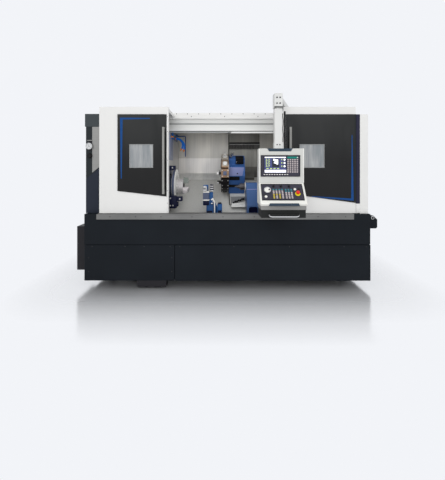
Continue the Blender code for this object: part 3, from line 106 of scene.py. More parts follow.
class Surface:
    """A Principled material under construction."""

    def __init__(self, name, colour, roughness, metallic=0.0):
        self.material = bpy.data.materials.new(name)
        self.material.use_nodes = True
        self.tree = self.material.node_tree
        self.shader = self.tree.nodes["Principled BSDF"]
        self.shader.inputs["Base Color"].default_value = colour
        self.shader.inputs["Roughness"].default_value = roughness
        self.shader.inputs["Metallic"].default_value = metallic
        self.place = self.tree.nodes.new("ShaderNodeTexCoord").outputs["Object"]

    def link(self, start, end):
        self.tree.links.new(start, end)

    def node(self, kind, values=()):
        """A new node with its (input, value) pairs set."""
        node = self.tree.nodes.new(f"ShaderNode{kind}")
        for name, value in values:
            node.inputs[name].default_value = value
        return node

    def gloss(self, level):
        self.shader.inputs["Specular IOR Level"].default_value = level

    def noise(self, scale, stretch=(1, 1, 1), detail=4.0):
        mapping = self.node("Mapping", [("Scale", stretch)])
        self.link(self.place, mapping.inputs["Vector"])
        noise = self.node("TexNoise", [("Scale", scale), ("Detail", detail)])
        self.link(mapping.outputs["Vector"], noise.inputs["Vector"])
        return noise.outputs["Fac"]

    def spread(self, value, low, high, start=0.3, end=0.7):
        """Maps a noise's middle range to low..high."""
        node = self.node("MapRange", [
            ("From Min", start), ("From Max", end), ("To Min", low), ("To Max", high),
        ])
        self.link(value, node.inputs["Value"])
        return node.outputs["Result"]

    def axis(self, name):
        node = self.node("SeparateXYZ")
        self.link(self.place, node.inputs["Vector"])
        return node.outputs[name]

    def ramp(self, value, stops, kind="LINEAR"):
        node = self.node("ValToRGB")
        node.color_ramp.interpolation = kind
        elements = node.color_ramp.elements
        while len(elements) < len(stops):
            elements.new(0.5)
        for element, (position, colour) in zip(elements, stops):
            element.position = position
            element.color = colour
        self.link(value, node.inputs["Fac"])
        return node.outputs["Color"]

    def mix(self, factor, first, second, blend="MIX"):
        node = self.node("Mix")
        node.data_type = "RGBA"
        node.blend_type = blend
        for socket, value in (("Factor", factor), ("A", first), ("B", second)):
            kind = "VALUE" if socket == "Factor" else "RGBA"
            target = [s for s in node.inputs if s.name == socket and s.type == kind][0]
            if isinstance(value, bpy.types.NodeSocket):
                self.link(value, target)
            else:
                target.default_value = value
        return [s for s in node.outputs if s.type == "RGBA"][0]

    def colour(self, value):
        self.link(value, self.shader.inputs["Base Color"])

    def mottled(self, value, colour, mottle):
        """The colour, darker and lighter by mottle from a noise's low to its high."""
        return self.mix(self.spread(value, 0.0, 1.0), scaled(colour, 1 - mottle), scaled(colour, 1 + mottle))

    def roughness(self, value):
        self.link(value, self.shader.inputs["Roughness"])

    def uneven(self, scale, low, high):
        """Roughness that drifts between low and high."""
        self.roughness(self.spread(self.noise(scale), low, high))

    def bump(self, height, strength, distance=0.0004):
        node = self.node("Bump", [("Strength", strength), ("Distance", distance)])
        self.link(height, node.inputs["Height"])
        self.link(node.outputs["Normal"], self.shader.inputs["Normal"])


def painted(name, colour, roughness, mottle=0.04, gloss=0.25, peel=0.12):
    """Sprayed paint: slight clouding, slightly uneven gloss and an orange-peel skin."""
    surface = Surface(name, colour, roughness)
    surface.gloss(gloss)
    surface.colour(surface.mottled(surface.noise(1.7, detail=3.0), colour, mottle))
    surface.uneven(14.0, roughness - 0.05, roughness + 0.05)
    surface.bump(surface.noise(PEEL_GRAIN, detail=2.0), peel)
    return surface.material


def brushed(name, colour, roughness, stretch, metallic=1.0, streak=0.16, cloud=0.10):
    """Brushed metal. The grain is long where stretch is small. Broad clouds make it lighter and darker; on
    the sill, where they are strongest, they are painted reflections.
    """
    surface = Surface(name, colour, roughness, metallic)
    lines = surface.noise(1.0, stretch, detail=6.0)
    base = surface.mottled(lines, colour, streak)
    clouds_and_sheen = surface.noise(2.2, detail=3.0)
    light = surface.mix(surface.spread(clouds_and_sheen, 0.0, 1.0), scaled((1, 1, 1), 1 - cloud), (1, 1, 1, 1))
    surface.colour(surface.mix(1.0, base, light, "MULTIPLY"))
    surface.roughness(surface.spread(lines, roughness - 0.07, roughness + 0.09))
    surface.bump(lines, 0.10, 0.0002)
    return surface.material


def plastic(name, colour, roughness, bump=0.10, grain=900.0, gloss=0.25, coat=0.0):
    surface = Surface(name, colour, roughness)
    surface.gloss(gloss)
    surface.shader.inputs["Coat Weight"].default_value = coat
    surface.colour(surface.mottled(surface.noise(6.0), colour, 0.07))
    surface.uneven(30.0, roughness - 0.04, roughness + 0.04)
    surface.bump(surface.noise(grain, detail=1.0), bump, 0.0002)
    return surface.material


def metal(name, colour, roughness, metallic=1.0, mottle=0.08, bump=0.05, grain=240.0):
    surface = Surface(name, colour, roughness, metallic)
    surface.colour(surface.mottled(surface.noise(9.0), colour, mottle))
    surface.uneven(26.0, roughness - 0.05, roughness + 0.07)
    surface.bump(surface.noise(grain, detail=3.0), bump, 0.0003)
    return surface.material


def smoked_glass():
    """Dark door glass with painted light: a little paler towards its top, and faint broad painted
    reflections.
    """
    surface = Surface("smoked_glass", linear(40, 41, 42), 0.07)
    surface.gloss(0.30)
    low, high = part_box("left_door_glass")
    height = surface.spread(surface.axis("Z"), 0.0, 1.0, low.z, high.z)
    # Painted reflected light: dark low on the glass, paler towards its top.
    shade = surface.ramp(height, [
        (0.0, linear(15, 14, 14)), (0.45, linear(24, 24, 24)), (0.72, linear(40, 41, 41)),
        (1.0, linear(46, 47, 47)),
    ])
    # Painted reflections: faint broad patches of lighter and darker glass.
    painted_glass_reflections = surface.ramp(surface.noise(1.6, (1.5, 1, 0.7), 2.0), [
        (0.40, (1, 1, 1, 1)), (0.55, (0.72, 0.74, 0.74, 1)), (0.70, (1.12, 1.12, 1.12, 1)),
    ])
    surface.colour(surface.mix(1.0, shade, painted_glass_reflections, "MULTIPLY"))
    surface.uneven(5.0, 0.05, 0.10)
    return surface.material


def window_pane():
    """The small window: pale laminated glass with soft upright folds of painted light."""
    surface = Surface("window_pane", linear(158, 161, 163), 0.16)
    # Painted light: soft upright bands of lighter and darker glass.
    painted_light_folds = surface.noise(1.0, (26.0, 4.0, 3.0), 3.0)
    surface.colour(surface.ramp(painted_light_folds, [
        (0.32, linear(132, 138, 142)), (0.5, linear(150, 153, 156)), (0.68, linear(172, 175, 176)),
    ]))
    surface.uneven(12.0, 0.12, 0.20)
    return surface.material


def zoned_sheet(name, bands, roughness=0.36):
    """Stainless sheet in level bands of painted light and shade, each from its height up to the next:
    (height, colour).
    """
    surface = Surface(name, bands[0][1], roughness, 0.24)
    surface.gloss(0.3)
    floor, roof = 0.6, 2.1
    level = surface.spread(surface.axis("Z"), 0.0, 1.0, floor, roof)
    # Painted light and shade: one stainless steel, lighter or darker band by band.
    painted_shade_bands = surface.ramp(level, [((height - floor) / (roof - floor), colour) for height, colour in bands],
                         "CONSTANT")
    lines = surface.noise(1.0, (70.0, 70.0, 1.2), 6.0)
    streaks = surface.ramp(lines, [(0.3, (0.86, 0.86, 0.86, 1)), (0.7, (1, 1, 1, 1))])
    broad = surface.ramp(surface.noise(1.0, (3.4, 1.0, 0.8), 2.0), [
        (0.38, (0.78, 0.78, 0.78, 1)), (0.52, (1.0, 0.99, 0.97, 1)), (0.68, (0.88, 0.88, 0.88, 1)),
    ])
    upright = surface.spread(surface.axis("Z"), 0.15, 1.0, 1.19, 1.22)
    surface.link(surface.spread(surface.axis("Z"), 0.04, 0.58, 1.19, 1.22), surface.shader.inputs["Metallic"])
    surface.colour(surface.mix(upright, surface.mix(1.0, painted_shade_bands, streaks, "MULTIPLY"), broad, "MULTIPLY"))
    surface.roughness(surface.spread(lines, roughness - 0.06, roughness + 0.08))
    surface.bump(lines, 0.06, 0.0002)
    return surface.material


def console_paint():
    """Light grey on the upright face, white from the fold down and on the edges. The grey is painted shade:
    one paint, drawn darker on the upright face than on the slope below.
    """
    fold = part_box("display_panel")[0].z - 0.070
    surface = Surface("console_paint", linear(206, 206, 203), 0.34)
    surface.gloss(0.25)
    # Painted shade: the paint is darker above the fold, on the upright face.
    upright = surface.spread(surface.axis("Z"), 0.0, 1.0, fold - 0.001, fold + 0.001)
    base = surface.mix(upright, linear(234, 234, 229), linear(204, 205, 202))
    cloud = surface.ramp(surface.noise(3.0), [(0.3, (0.97, 0.97, 0.97, 1)), (0.7, (1, 1, 1, 1))])
    surface.colour(surface.mix(1.0, base, cloud, "MULTIPLY"))
    surface.uneven(14.0, 0.29, 0.39)
    surface.bump(surface.noise(PEEL_GRAIN, detail=2.0), 0.08)
    return surface.material


def glowing(name, colour, strength):
    surface = Surface(name, colour, 0.30)
    surface.shader.inputs["Emission Color"].default_value = colour
    surface.shader.inputs["Emission Strength"].default_value = strength
    surface.uneven(40.0, 0.26, 0.34)
    return surface.material


def add_finish(maker, name, colour, *values):
    paint[name] = maker(name, linear(*colour), *values)


paint = {}
for row in (
    # Name, sRGB colour, roughness, mottle, gloss, peel
    ("white", (229, 229, 228), 0.36, 0.015),
    ("beam", (208, 209, 207), 0.36, 0.02),
    ("mast", (214, 215, 214), 0.36, 0.02),
    ("anthracite", (25, 29, 34), 0.46, 0.14, 0.1, 0.16),
    ("slate", (42, 47, 50), 0.42, 0.08, 0.12),
    ("slate_cap", (66, 72, 75), 0.42, 0.06, 0.12),
    ("column_lower", (44, 49, 60), 0.42, 0.12, 0.1),
    ("navy", (44, 44, 62), 0.38, 0.1, 0.12),
    ("deep_navy", (22, 26, 52), 0.35, 0.12, 0.14),
    ("blue", (62, 92, 140), 0.36, 0.07),
    ("turret_blue", (58, 96, 156), 0.36, 0.1),
    ("bright_blue", (36, 88, 148), 0.34, 0.08),
    ("lavender", (120, 128, 172), 0.34, 0.05),
    ("film", (24, 72, 134), 0.3, 0.05, 0.15, 0.03),
    ("tray", (36, 37, 37), 0.44, 0.08, 0.12),
    ("lip", (136, 136, 135), 0.4),
    ("wall_front", (132, 140, 166), 0.42, 0.1),
    ("glass_border", (34, 38, 38), 0.3, 0.06, 0.2),
    ("slate_inlay", (50, 64, 78), 0.38, 0.05, 0.15),
    ("rim_white", (240, 240, 236), 0.32, 0.01),
    ("ridge", (140, 142, 190), 0.34),
    ("groove", (150, 152, 152), 0.4),
    ("slate_block", (84, 92, 116), 0.4, 0.06),
    ("recess", (20, 24, 58), 0.45, 0.1, 0.1),
    ("green_plate", (90, 140, 108), 0.4, 0.08),
):
    add_finish(painted, *row)
for row in (
    # Name, sRGB colour, roughness, bump, grain, gloss, coat
    ("panel", (55, 54, 66), 0.42),
    ("panel_edge", (22, 22, 26), 0.4),
    ("black", (30, 29, 33), 0.46),
    ("rubber", (18, 18, 18), 0.72, 0.25, 260.0),
    ("bellows", (92, 92, 90), 0.62, 0.3, 300.0, 0.2),
    ("seam", (20, 20, 22), 0.6),
    ("red", (214, 30, 26), 0.32, 0.02, 900.0, 0.25, 0.5),
    ("yellow", (222, 212, 40), 0.4),
    ("orange", (214, 128, 52), 0.4),
    ("hose_blue", (28, 112, 208), 0.38),
    ("white_plastic", (236, 235, 230), 0.36, 0.03),
    ("dial", (208, 210, 212), 0.3, 0.02),
    ("key", (196, 186, 188), 0.42, 0.03),
    ("key_yellow", (196, 176, 74), 0.42, 0.03),
    ("key_teal", (64, 128, 140), 0.42, 0.03),
    ("teal", (14, 124, 112), 0.4, 0.03),
):
    add_finish(plastic, *row)
for row in (
    # Name, sRGB colour, roughness, metallic, mottle, bump, grain
    ("steel", (210, 210, 208), 0.28, 0.35),
    ("dark_steel", (62, 62, 64), 0.38, 0.8),
    ("chrome", (214, 214, 214), 0.14, 1.0, 0.04, 0.02),
    ("chuck", (196, 192, 193), 0.3, 0.3, 0.02, 0.01),
    ("satin", (205, 206, 206), 0.32, 0.6),
    ("iron", (96, 95, 96), 0.52, 0.7, 0.16, 0.2, 160.0),
    ("iron_bright", (96, 94, 97), 0.3, 0.75, 0.2, 0.05, 160.0),
    ("holder", (172, 164, 152), 0.34, 0.5, 0.2),
    ("bronze", (152, 124, 100), 0.36, 0.6, 0.3),
    ("black_oxide", (34, 32, 33), 0.4, 0.5, 0.2),
    # Painted light and shade: the three jaws are one steel, the upper jaw painted shaded and the other two
    # lit.
    ("jaw", (126, 134, 128), 0.32, 0.2, 0.1),
    ("jaw_bright", (232, 226, 228), 0.32, 0.1, 0.06),
):
    add_finish(metal, *row)
for row in (
    # Name, sRGB colour, roughness, stretch of the grain, metallic, streak, cloud (on the sill, painted
    # reflections)
    ("handle", (146, 146, 142), 0.34, (60.0, 60.0, 2.0), 0.35),
    ("trim", (150, 150, 148), 0.36, (2.0, 2.0, 160.0), 0.3, 0.08, 0.04),
    # The sill's strong cloud is painted reflections along the steel.
    ("sill", (128, 128, 127), 0.36, (0.9, 30.0, 240.0), 0.4, 0.16, 0.34),
    ("inner_wall", (196, 194, 192), 0.38, (60.0, 60.0, 1.5), 0.3, 0.14, 0.3),
    ("pan", (168, 168, 166), 0.4, (3.0, 30.0, 30.0), 0.2, 0.1, 0.2),
):
    add_finish(brushed, *row)
for row in (
    # Name, sRGB colour, strength
    ("screen", (52, 58, 104), 0.5),
    ("screen_white", (240, 242, 250), 0.55),
    ("screen_green", (176, 196, 120), 0.5),
    ("screen_dark", (20, 24, 34), 0.2),
):
    add_finish(glowing, *row)
paint["console"] = console_paint()
paint["glass"] = smoked_glass()
paint["pane"] = window_pane()

# The rear wall's seam, its ledge and the fold down to the slope, from the photograph, and the painted light
# and shade of the bands between them
WALL_SEAM = 1.546
LEDGE = 1.304
UPPER_WALL_SHADE = linear(220, 217, 210)
MIDDLE_WALL_LIGHT = linear(250, 247, 243)
LOWER_WALL_LIGHT = linear(246, 246, 242)
SLOPE_SHADE = linear(224, 224, 220)
SHEET_FOLD = 1.2036
SADDLE_SHADE = linear(134, 133, 127)
# Painted light and shade: both sheets are one stainless steel, lit or shaded band by band.
paint["rear"] = zoned_sheet("rear_sheet", [
    (0.6, SLOPE_SHADE), (SHEET_FOLD, LOWER_WALL_LIGHT), (LEDGE, MIDDLE_WALL_LIGHT), (WALL_SEAM, UPPER_WALL_SHADE),
])
paint["saddle_sheet"] = zoned_sheet("saddle_sheet", [
    (0.6, SLOPE_SHADE), (SHEET_FOLD, SADDLE_SHADE), (1.41, linear(178, 177, 170)), (1.795, linear(152, 150, 144)),
])


# The CAD material that each finish stands for, where a piece names no other
SLOTS = {
    "steel": ["steel", "dark_steel", "trim"],
    "chrome": ["chrome", "dial", "white_plastic"],
    "rubber": ["rubber", "seam", "bellows"],
    "black_plastic": ["black", "panel_edge"],
    "white_paint": ["white", "beam", "mast"],
    "dark_grey_paint": ["slate", "column_lower", "groove", "lip", "slate_inlay"],
    "blue_paint": [
        "blue", "bright_blue", "film", "green_plate", "hose_blue", "lavender", "orange", "ridge",
        "slate_block",
    ],
    "anthracite_paint": ["anthracite"],
    "navy_paint": ["deep_navy", "recess"],
    "dark_glass": ["glass_border", "screen", "screen_dark", "screen_green", "screen_white"],
    "stainless_sheet": ["pan", "saddle_sheet", "wall_front", "rim_white"],
    "red_plastic": ["red", "yellow"],
}
SLOT_OF = {name: slot for slot, names in SLOTS.items() for name in names}


# Shapes

def break_edges(shape, corners, bevel):
    edges = list({edge for corner in corners for edge in corner.link_edges})
    bmesh.ops.bevel(shape, geom=edges, offset=bevel, segments=2, profile=0.5, affect="EDGES")


def block(shape, low, high, bevel=0.0):
    """A box between two corners, with its edges broken."""
    low, high = Vector(low), Vector(high)
    corners = bmesh.ops.create_cube(shape, size=1.0)["verts"]
    bmesh.ops.scale(shape, vec=high - low, verts=corners)
    bmesh.ops.translate(shape, vec=(low + high) / 2, verts=corners)
    if bevel:
        break_edges(shape, corners, bevel)


def prism(shape, outline, step, bevel=0.0):
    """A closed outline of points drawn out by step."""
    face = shape.faces.new([shape.verts.new(point) for point in outline])
    made = bmesh.ops.extrude_face_region(shape, geom=[face])["geom"]
    moved = [item for item in made if isinstance(item, bmesh.types.BMVert)]
    bmesh.ops.translate(shape, vec=step, verts=moved)
    if bevel:
        break_edges(shape, moved, bevel)


def skin(shape, loops):
    """Faces from each loop of points to the next, and one over each end."""
    sides = len(loops[0])
    for first, second in zip(loops, loops[1:]):
        for step in range(sides):
            after = (step + 1) % sides
            shape.faces.new((first[step], first[after], second[after], second[step]))
    shape.faces.new(loops[0][::-1])
    shape.faces.new(loops[-1])


def ring(shape, centre, side, up, radius, sides):
    """A loop of points round a centre."""
    loop = []
    for step in range(sides):
        angle = math.tau * step / sides
        loop.append(shape.verts.new(centre + (side * math.cos(angle) + up * math.sin(angle)) * radius))
    return loop


def turned(shape, rings, centre, axis, sides):
    """A solid turned about an axis. Each ring is (distance along it, radius)."""
    axis = Vector(axis).normalized()
    side = axis.orthogonal().normalized()
    up = axis.cross(side)
    centre = Vector(centre)
    skin(shape, [ring(shape, centre + axis * along, side, up, radius, sides) for along, radius in rings])


def tube(shape, points, radius, sides=12):
    """A round bar along points, with flat ends."""
    points = [Vector(point) for point in points]
    side = (points[1] - points[0]).orthogonal().normalized()
    loops = []
    for number, point in enumerate(points):
        before = points[max(number - 1, 0)]
        after = points[min(number + 1, len(points) - 1)]
        run = (after - before).normalized()
        side = (side - run * side.dot(run)).normalized()
        loops.append(ring(shape, point, side, run.cross(side), radius, sides))
    skin(shape, loops)


def screw(shape, centre, normal, radius):
    """A socket screw head with its hexagon recess."""
    height = radius * 0.55
    turned(shape, [
        (-radius * 0.2, radius), (height * 0.75, radius), (height, radius * 0.84), (height, radius * 0.5),
        (height * 0.3, radius * 0.46), (height * 0.3, radius * 0.02),
    ], centre, normal, 12)


def placed(name, data):
    """A new object in the scene."""
    thing = bpy.data.objects.new(name, data)
    bpy.context.scene.collection.objects.link(thing)
    return thing


def finished(name, shape):
    """The shape as a mesh, with its faces turned outwards."""
    bmesh.ops.recalc_face_normals(shape, faces=shape.faces)
    mesh = bpy.data.meshes.new(name)
    shape.to_mesh(mesh)
    shape.free()
    return mesh


def piece(name, shape, material, body, slot=None):
    """The finished mesh as an object that rides on a body."""
    mesh = finished(name, shape)
    mesh.materials.append(paint[material])
    mesh.shade_smooth()
    mesh.set_sharp_from_angle(angle=SHARP_EDGE)
    thing = placed(name, mesh)
    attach(thing, body)
    slot or SLOT_OF[material]
    return thing


def build(name, material, body, *forms, slot=None):
    """A piece made of forms: each is a shape function and what it takes after the shape."""
    shape = bmesh.new()
    for form, *values in forms:
        form(shape, *values)
    return piece(name, shape, material, body, slot)


def refined(node, name, material, body, bevel, cutters):
    """The CAD node's own shape with rounded edges and any cuts, standing for the node."""
    shape = bmesh.new()
    shape.from_mesh(frame["nodes"][node].data)
    bmesh.ops.remove_doubles(shape, verts=shape.verts, dist=0.00002)
    bmesh.ops.dissolve_limit(shape, angle_limit=math.radians(1), verts=shape.verts, edges=shape.edges)
    thing = piece(name, shape, material, body)
    for number, cutter in enumerate(cutters):
        modifier = thing.modifiers.new(f"cut {number}", "BOOLEAN")
        modifier.operation = "DIFFERENCE"
        modifier.object = cutter
    softened = thing.modifiers.new("rounded edges", "BEVEL")
    softened.width = bevel
    softened.segments = 3
    softened.limit_method = "ANGLE"
    softened.angle_limit = SHARP_EDGE
    graph = bpy.context.evaluated_depsgraph_get()
    mesh = bpy.data.meshes.new_from_object(thing.evaluated_get(graph))
    thing.modifiers.clear()
    thing.data = mesh
    mesh.shade_smooth()
    mesh.set_sharp_from_angle(angle=REFINED_EDGE)
    for cutter in cutters:
        bpy.data.objects.remove(cutter)
    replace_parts(thing, node)


def cutter(shape):
    return placed("cutter", finished("cutter", shape))


def front_screws(name, body, places, radius):
    """Screws that face the front, each at its place."""
    build(name, "dark_steel", body, *[(screw, place, TO_FRONT, radius) for place in places])


def on_front(points, y):
    """(x, z) points as an outline at one y."""
    return [(x, y, z) for x, z in points]


# Finishes of the pieces that keep their CAD shape

DRESS = {
    "anthracite": ["base_casting", "lower_left_panel", "lower_right_panel", "upper_front_panel",
                   "front_bed_wall", "right_coolant_box"],
    "slate": ["left_cabinet", "left_corner_panel", "left_roof_panel"],
    "slate_cap": ["left_cabinet_cap"],
    "black": ["left_terminal_box", "jacking_foot"],
    "white": ["right_cabinet", "right_corner_column", "right_roof_panel", "rear_cabinet",
              "top_rail", "rear_top_beam", "roof_plate", "left_door_panel", "right_door_panel",
              "front_top_beam"],
    "mast": ["pendant_arm", "pendant_mast"],
    "console": ["console"],
    "navy": ["right_corner_strip"],
    "glass": ["left_door_glass", "right_door_glass"],
    "pane": ["left_door_window", "right_door_window"],
    "sill": ["front_sill"],
    "rear": ["fixed_way_cover", "left_cover_segment", "right_cover_segment", "saddle_cover"],
    "saddle_sheet": ["saddle_body"],
    "inner_wall": ["left_inner_wall", "right_inner_wall"],
    "iron": ["slant_bed"],
    "chuck": ["chuck_body"],
    # The upper jaw is painted shaded and the other two lit; all three are the same steel.
    "jaw": ["jaw_1"],
    "jaw_bright": ["jaw_2", "jaw_3"],
    "iron_bright": ["tailstock_quill"],
    "handle": ["left_door_handle", "right_door_handle"],
    "dark_steel": ["turret_disc"],
    "turret_blue": ["turret_housing"],
    "slate_block": ["headstock", "steady_rest_block"],
    "blue": ["tailstock"],
    "bright_blue": ["steady_rest", "coolant_hose"],
    "bellows": ["cross_slide_bellows"],
    "panel": ["display_panel", "control_panel"],
    "tray": ["pendant_tray"],
    "red": ["stop_button"],
    "satin": ["handwheel"],
}


def dress_nodes():
    for material, nodes in DRESS.items():
        for name in nodes:
            mesh = frame["nodes"][name].data
            mesh.materials.clear()
            mesh.materials.append(paint[material])


# Camera, light and floor

def add_camera():
    data = bpy.data.cameras.new("photo_view")
    data.sensor_width = SENSOR
    data.lens = SENSOR * FOCAL_LENGTH / PHOTO_HEIGHT
    data.shift_y = (HORIZON_ROW - PHOTO_HEIGHT / 2) / PHOTO_HEIGHT
    camera = placed("photo_view", data)
    camera.location = CAMERA_PLACE
    camera.rotation_euler = (math.radians(90), 0, 0)
    bpy.context.scene.camera = camera


def add_lamp(name, place, aim, size, power):
    """A soft box that lights the machine without showing in its gloss or in the floor's."""
    data = bpy.data.lights.new(name, "AREA")
    data.shape = "RECTANGLE"
    data.size, data.size_y = size
    data.energy = power
    lamp = placed(name, data)
    lamp.location = place
    lamp.rotation_euler = (Vector(aim) - Vector(place)).to_track_quat("-Z", "Y").to_euler()
    lamp.visible_glossy = False


BACKGROUND = (0.890, 0.905, 0.940, 1.0)
DOME = 0.62


def add_world():
    world = bpy.data.worlds.new("studio")
    bpy.context.scene.world = world
    world.use_nodes = True
    tree = world.node_tree
    tree.nodes.clear()
    output = tree.nodes.new("ShaderNodeOutputWorld")
    mix = tree.nodes.new("ShaderNodeMixShader")
    seen = tree.nodes.new("ShaderNodeBackground")
    seen.inputs["Color"].default_value = BACKGROUND
    lit = tree.nodes.new("ShaderNodeBackground")
    lit.inputs["Color"].default_value = (1.0, 1.0, 1.0, 1.0)
    lit.inputs["Strength"].default_value = DOME
    path = tree.nodes.new("ShaderNodeLightPath")
    first = tree.nodes.new("ShaderNodeMath")
    first.operation = "MAXIMUM"
    second = tree.nodes.new("ShaderNodeMath")
    second.operation = "MAXIMUM"
    tree.links.new(path.outputs["Is Camera Ray"], first.inputs[0])
    tree.links.new(path.outputs["Is Glossy Ray"], first.inputs[1])
    tree.links.new(first.outputs["Value"], second.inputs[0])
    tree.links.new(path.outputs["Is Transmission Ray"], second.inputs[1])
    tree.links.new(second.outputs["Value"], mix.inputs["Fac"])
    tree.links.new(lit.outputs["Background"], mix.inputs[1])
    tree.links.new(seen.outputs["Background"], mix.inputs[2])
    tree.links.new(mix.outputs["Shader"], output.inputs["Surface"])


FLOOR_RADIUS = 6.0
FLOOR_FADE = (0.0, 0.8)
FLOOR_BLUR = 0.16
MIRROR = 0.72
MIRROR_REACH = 1.15


def distance_from_foot(surface):
    """How far a point of the floor lies outside the base's footprint."""
    low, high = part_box("base_casting")
    centre = (low + high) / 2
    half = (high - low) / 2
    steps = (
        ("SUBTRACT", (centre.x, centre.y, 0)), ("ABSOLUTE", None), ("SUBTRACT", (half.x, half.y, 1)),
        ("MAXIMUM", (0, 0, 0)), ("LENGTH", None),
    )
    value = surface.place
    for operation, operand in steps:
        node = surface.node("VectorMath")
        node.operation = operation
        surface.link(value, node.inputs[0])
        if operand:
            node.inputs[1].default_value = operand
        value = node.outputs["Value" if operation == "LENGTH" else "Vector"]
    return value


def add_floor():
    """A pale floor that mirrors the foot of the machine and fades out into the background."""
    shape = bmesh.new()
    bmesh.ops.create_circle(shape, cap_ends=True, radius=FLOOR_RADIUS, segments=96)
    mesh = bpy.data.meshes.new("floor")
    shape.to_mesh(mesh)
    shape.free()
    floor = placed("floor", mesh)
    surface = Surface("pale_floor", linear(236, 238, 241), 0.7)
    surface.gloss(0.0)
    surface.uneven(3.0, 0.6, 0.8)
    away = distance_from_foot(surface)
    clear = surface.node("BsdfTransparent")
    gloss = surface.node("BsdfGlossy", [("Color", (1, 1, 1, 1)), ("Roughness", FLOOR_BLUR)])
    fade = surface.spread(away, 0.0, 1.0, *FLOOR_FADE)
    mirror = surface.spread(away, MIRROR, 0.0, 0.0, MIRROR_REACH)
    ground = surface.node("MixShader")
    surface.link(fade, ground.inputs["Fac"])
    surface.link(surface.shader.outputs["BSDF"], ground.inputs[1])
    surface.link(clear.outputs["BSDF"], ground.inputs[2])
    whole = surface.node("MixShader")
    surface.link(mirror, whole.inputs["Fac"])
    surface.link(ground.outputs["Shader"], whole.inputs[1])
    surface.link(gloss.outputs["BSDF"], whole.inputs[2])
    output = surface.tree.nodes["Material Output"]
    surface.link(whole.outputs["Shader"], output.inputs["Surface"])
    mesh.materials.append(surface.material)


def add_lights():
    add_lamp("key", (-3.4, -4.4, 4.8), (0.0, -0.2, 1.1), (4.6, 3.6), 52)
    add_lamp("fill", (3.4, -4.6, 4.6), (0.0, -0.2, 1.1), (4.6, 3.6), 40)
    add_lamp("low_front", (0.0, -5.6, 1.9), (0.0, 0.5, 1.3), (3.2, 2.6), 86)
    add_lamp("overhead", (0.0, 1.2, 5.2), (0.0, 0.2, 1.0), (4.0, 3.0), 50)
    add_lamp("working_space", (0.05, -0.42, 1.66), (0.0, 0.60, 1.30), (1.5, 0.36), 2.3)


# Doors

def dress_door(side, stripe, trim, trim_paint):
    """Blue film on the glass, a gasket round the window and an edge profile."""
    body = f"{side}_door"
    low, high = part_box(f"{side}_door_glass")
    build(f"{side}_door_stripe", "film", body,
        (prism, on_front(stripe, low.y), (0, -FILM, 0)))
    pane_low, pane_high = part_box(f"{side}_door_window")
    rim = 0.006
    strips = (
        ((pane_low.x - rim, pane_low.z - rim), (pane_low.x, pane_high.z + rim)),
        ((pane_high.x, pane_low.z - rim), (pane_high.x + rim, pane_high.z + rim)),
        ((pane_low.x, pane_high.z), (pane_high.x, pane_high.z + rim)),
        ((pane_low.x, pane_low.z - rim), (pane_high.x, pane_low.z)),
    )
    build(f"{side}_window_gasket", "groove", body,
        *[(block, (a[0], low.y - 0.002, a[1]), (b[0], low.y + 0.001, b[1])) for a, b in strips],
        slot="rubber")
    panel_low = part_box(f"{side}_door_panel")[0]
    top = high.z + 0.035
    build(f"{side}_door_edge_profile", trim_paint, body,
        (block, (trim[0], panel_low.y - 0.004, panel_low.z + 0.002), (trim[1], panel_low.y - TIGHT, top),
         0.001), slot="steel")
    middle, rise = (trim[0] + trim[1]) / 2, top - panel_low.z
    shares = (0.10, 0.22, 0.52, 0.80, 0.95)
    places = [(middle, panel_low.y - 0.004, panel_low.z + rise * share) for share in shares]
    front_screws(f"{side}_door_screws", body, places, 0.004)
    handle_low, handle_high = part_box(f"{side}_door_handle")
    build(f"{side}_handle_washers", "dark_steel", body,
        *[(turned, [(TIGHT, 0.017), (0.004, 0.017), (0.006, 0.014), (0.006, 0.008)],
           ((handle_low.x + handle_high.x) / 2, low.y, z), TO_FRONT, 24)
          for z in (handle_low.z + 0.035, handle_high.z - 0.035)], slot="chrome")


def dress_right_door_edge():
    """The dark strip that continues the glass to the right door's edge."""
    glass_low, glass_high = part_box("right_door_glass")
    panel_low, panel_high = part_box("right_door_panel")
    outline = [(glass_high.x + 0.0006, glass_low.z), (panel_high.x - CLEAR, glass_low.z - 0.002),
               (panel_high.x - CLEAR, glass_high.z), (glass_high.x + 0.0006, glass_high.z)]
    build("right_door_glass_border", "glass_border", "right_door",
        (prism, on_front(outline, panel_low.y - TIGHT), (0, -0.0075, 0)))


# Left column

COLUMN_LINE = ((-1.6586, 1.2692), (-1.5127, 1.3880))
COLUMN_OVERLAP = 0.012


def line_height(x):
    """The height of the sloping joint on the left column at x."""
    (x0, z0), (x1, z1) = COLUMN_LINE
    return z0 + (x - x0) * (z1 - z0) / (x1 - x0)


def dress_left_column():
    low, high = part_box("left_corner_panel")
    y = low.y
    left, right = low.x - COLUMN_OVERLAP, high.x - 0.001
    outline = [(left, low.z + 0.001), (right, low.z + 0.001), (right, line_height(right)),
               (left, line_height(left))]
    build("left_column_lower_cover", "column_lower", "machine",
        (prism, on_front(outline, y), (0, -0.0026, 0), 0.0008))
    outline = [(left, line_height(left) + 0.003), (right, line_height(right) + 0.003),
               (right, high.z - 0.001), (left, high.z - 0.001)]
    build("left_column_upper_cover", "slate", "machine",
        (prism, on_front(outline, y), (0, -0.0022, 0), 0.0008),
        (block, (left, y - TIGHT, low.z + 0.003), (low.x - CLEAR, y + 0.03, high.z - 0.003), 0.001))
    strip_left = -1.587
    top = high.z - 0.002
    outline = [(strip_left, line_height(strip_left) + 0.012), (right, line_height(right) + 0.012),
               (right, top), (strip_left, top)]
    build("left_column_silver_strip", "trim", "machine",
        (prism, on_front(outline, y - 0.0022), (0, -0.003, 0), 0.0008))
    add_gauge((-1.6160, y - 0.0024, 1.650))
    add_knob((-1.6150, y - 0.0024, 1.538))


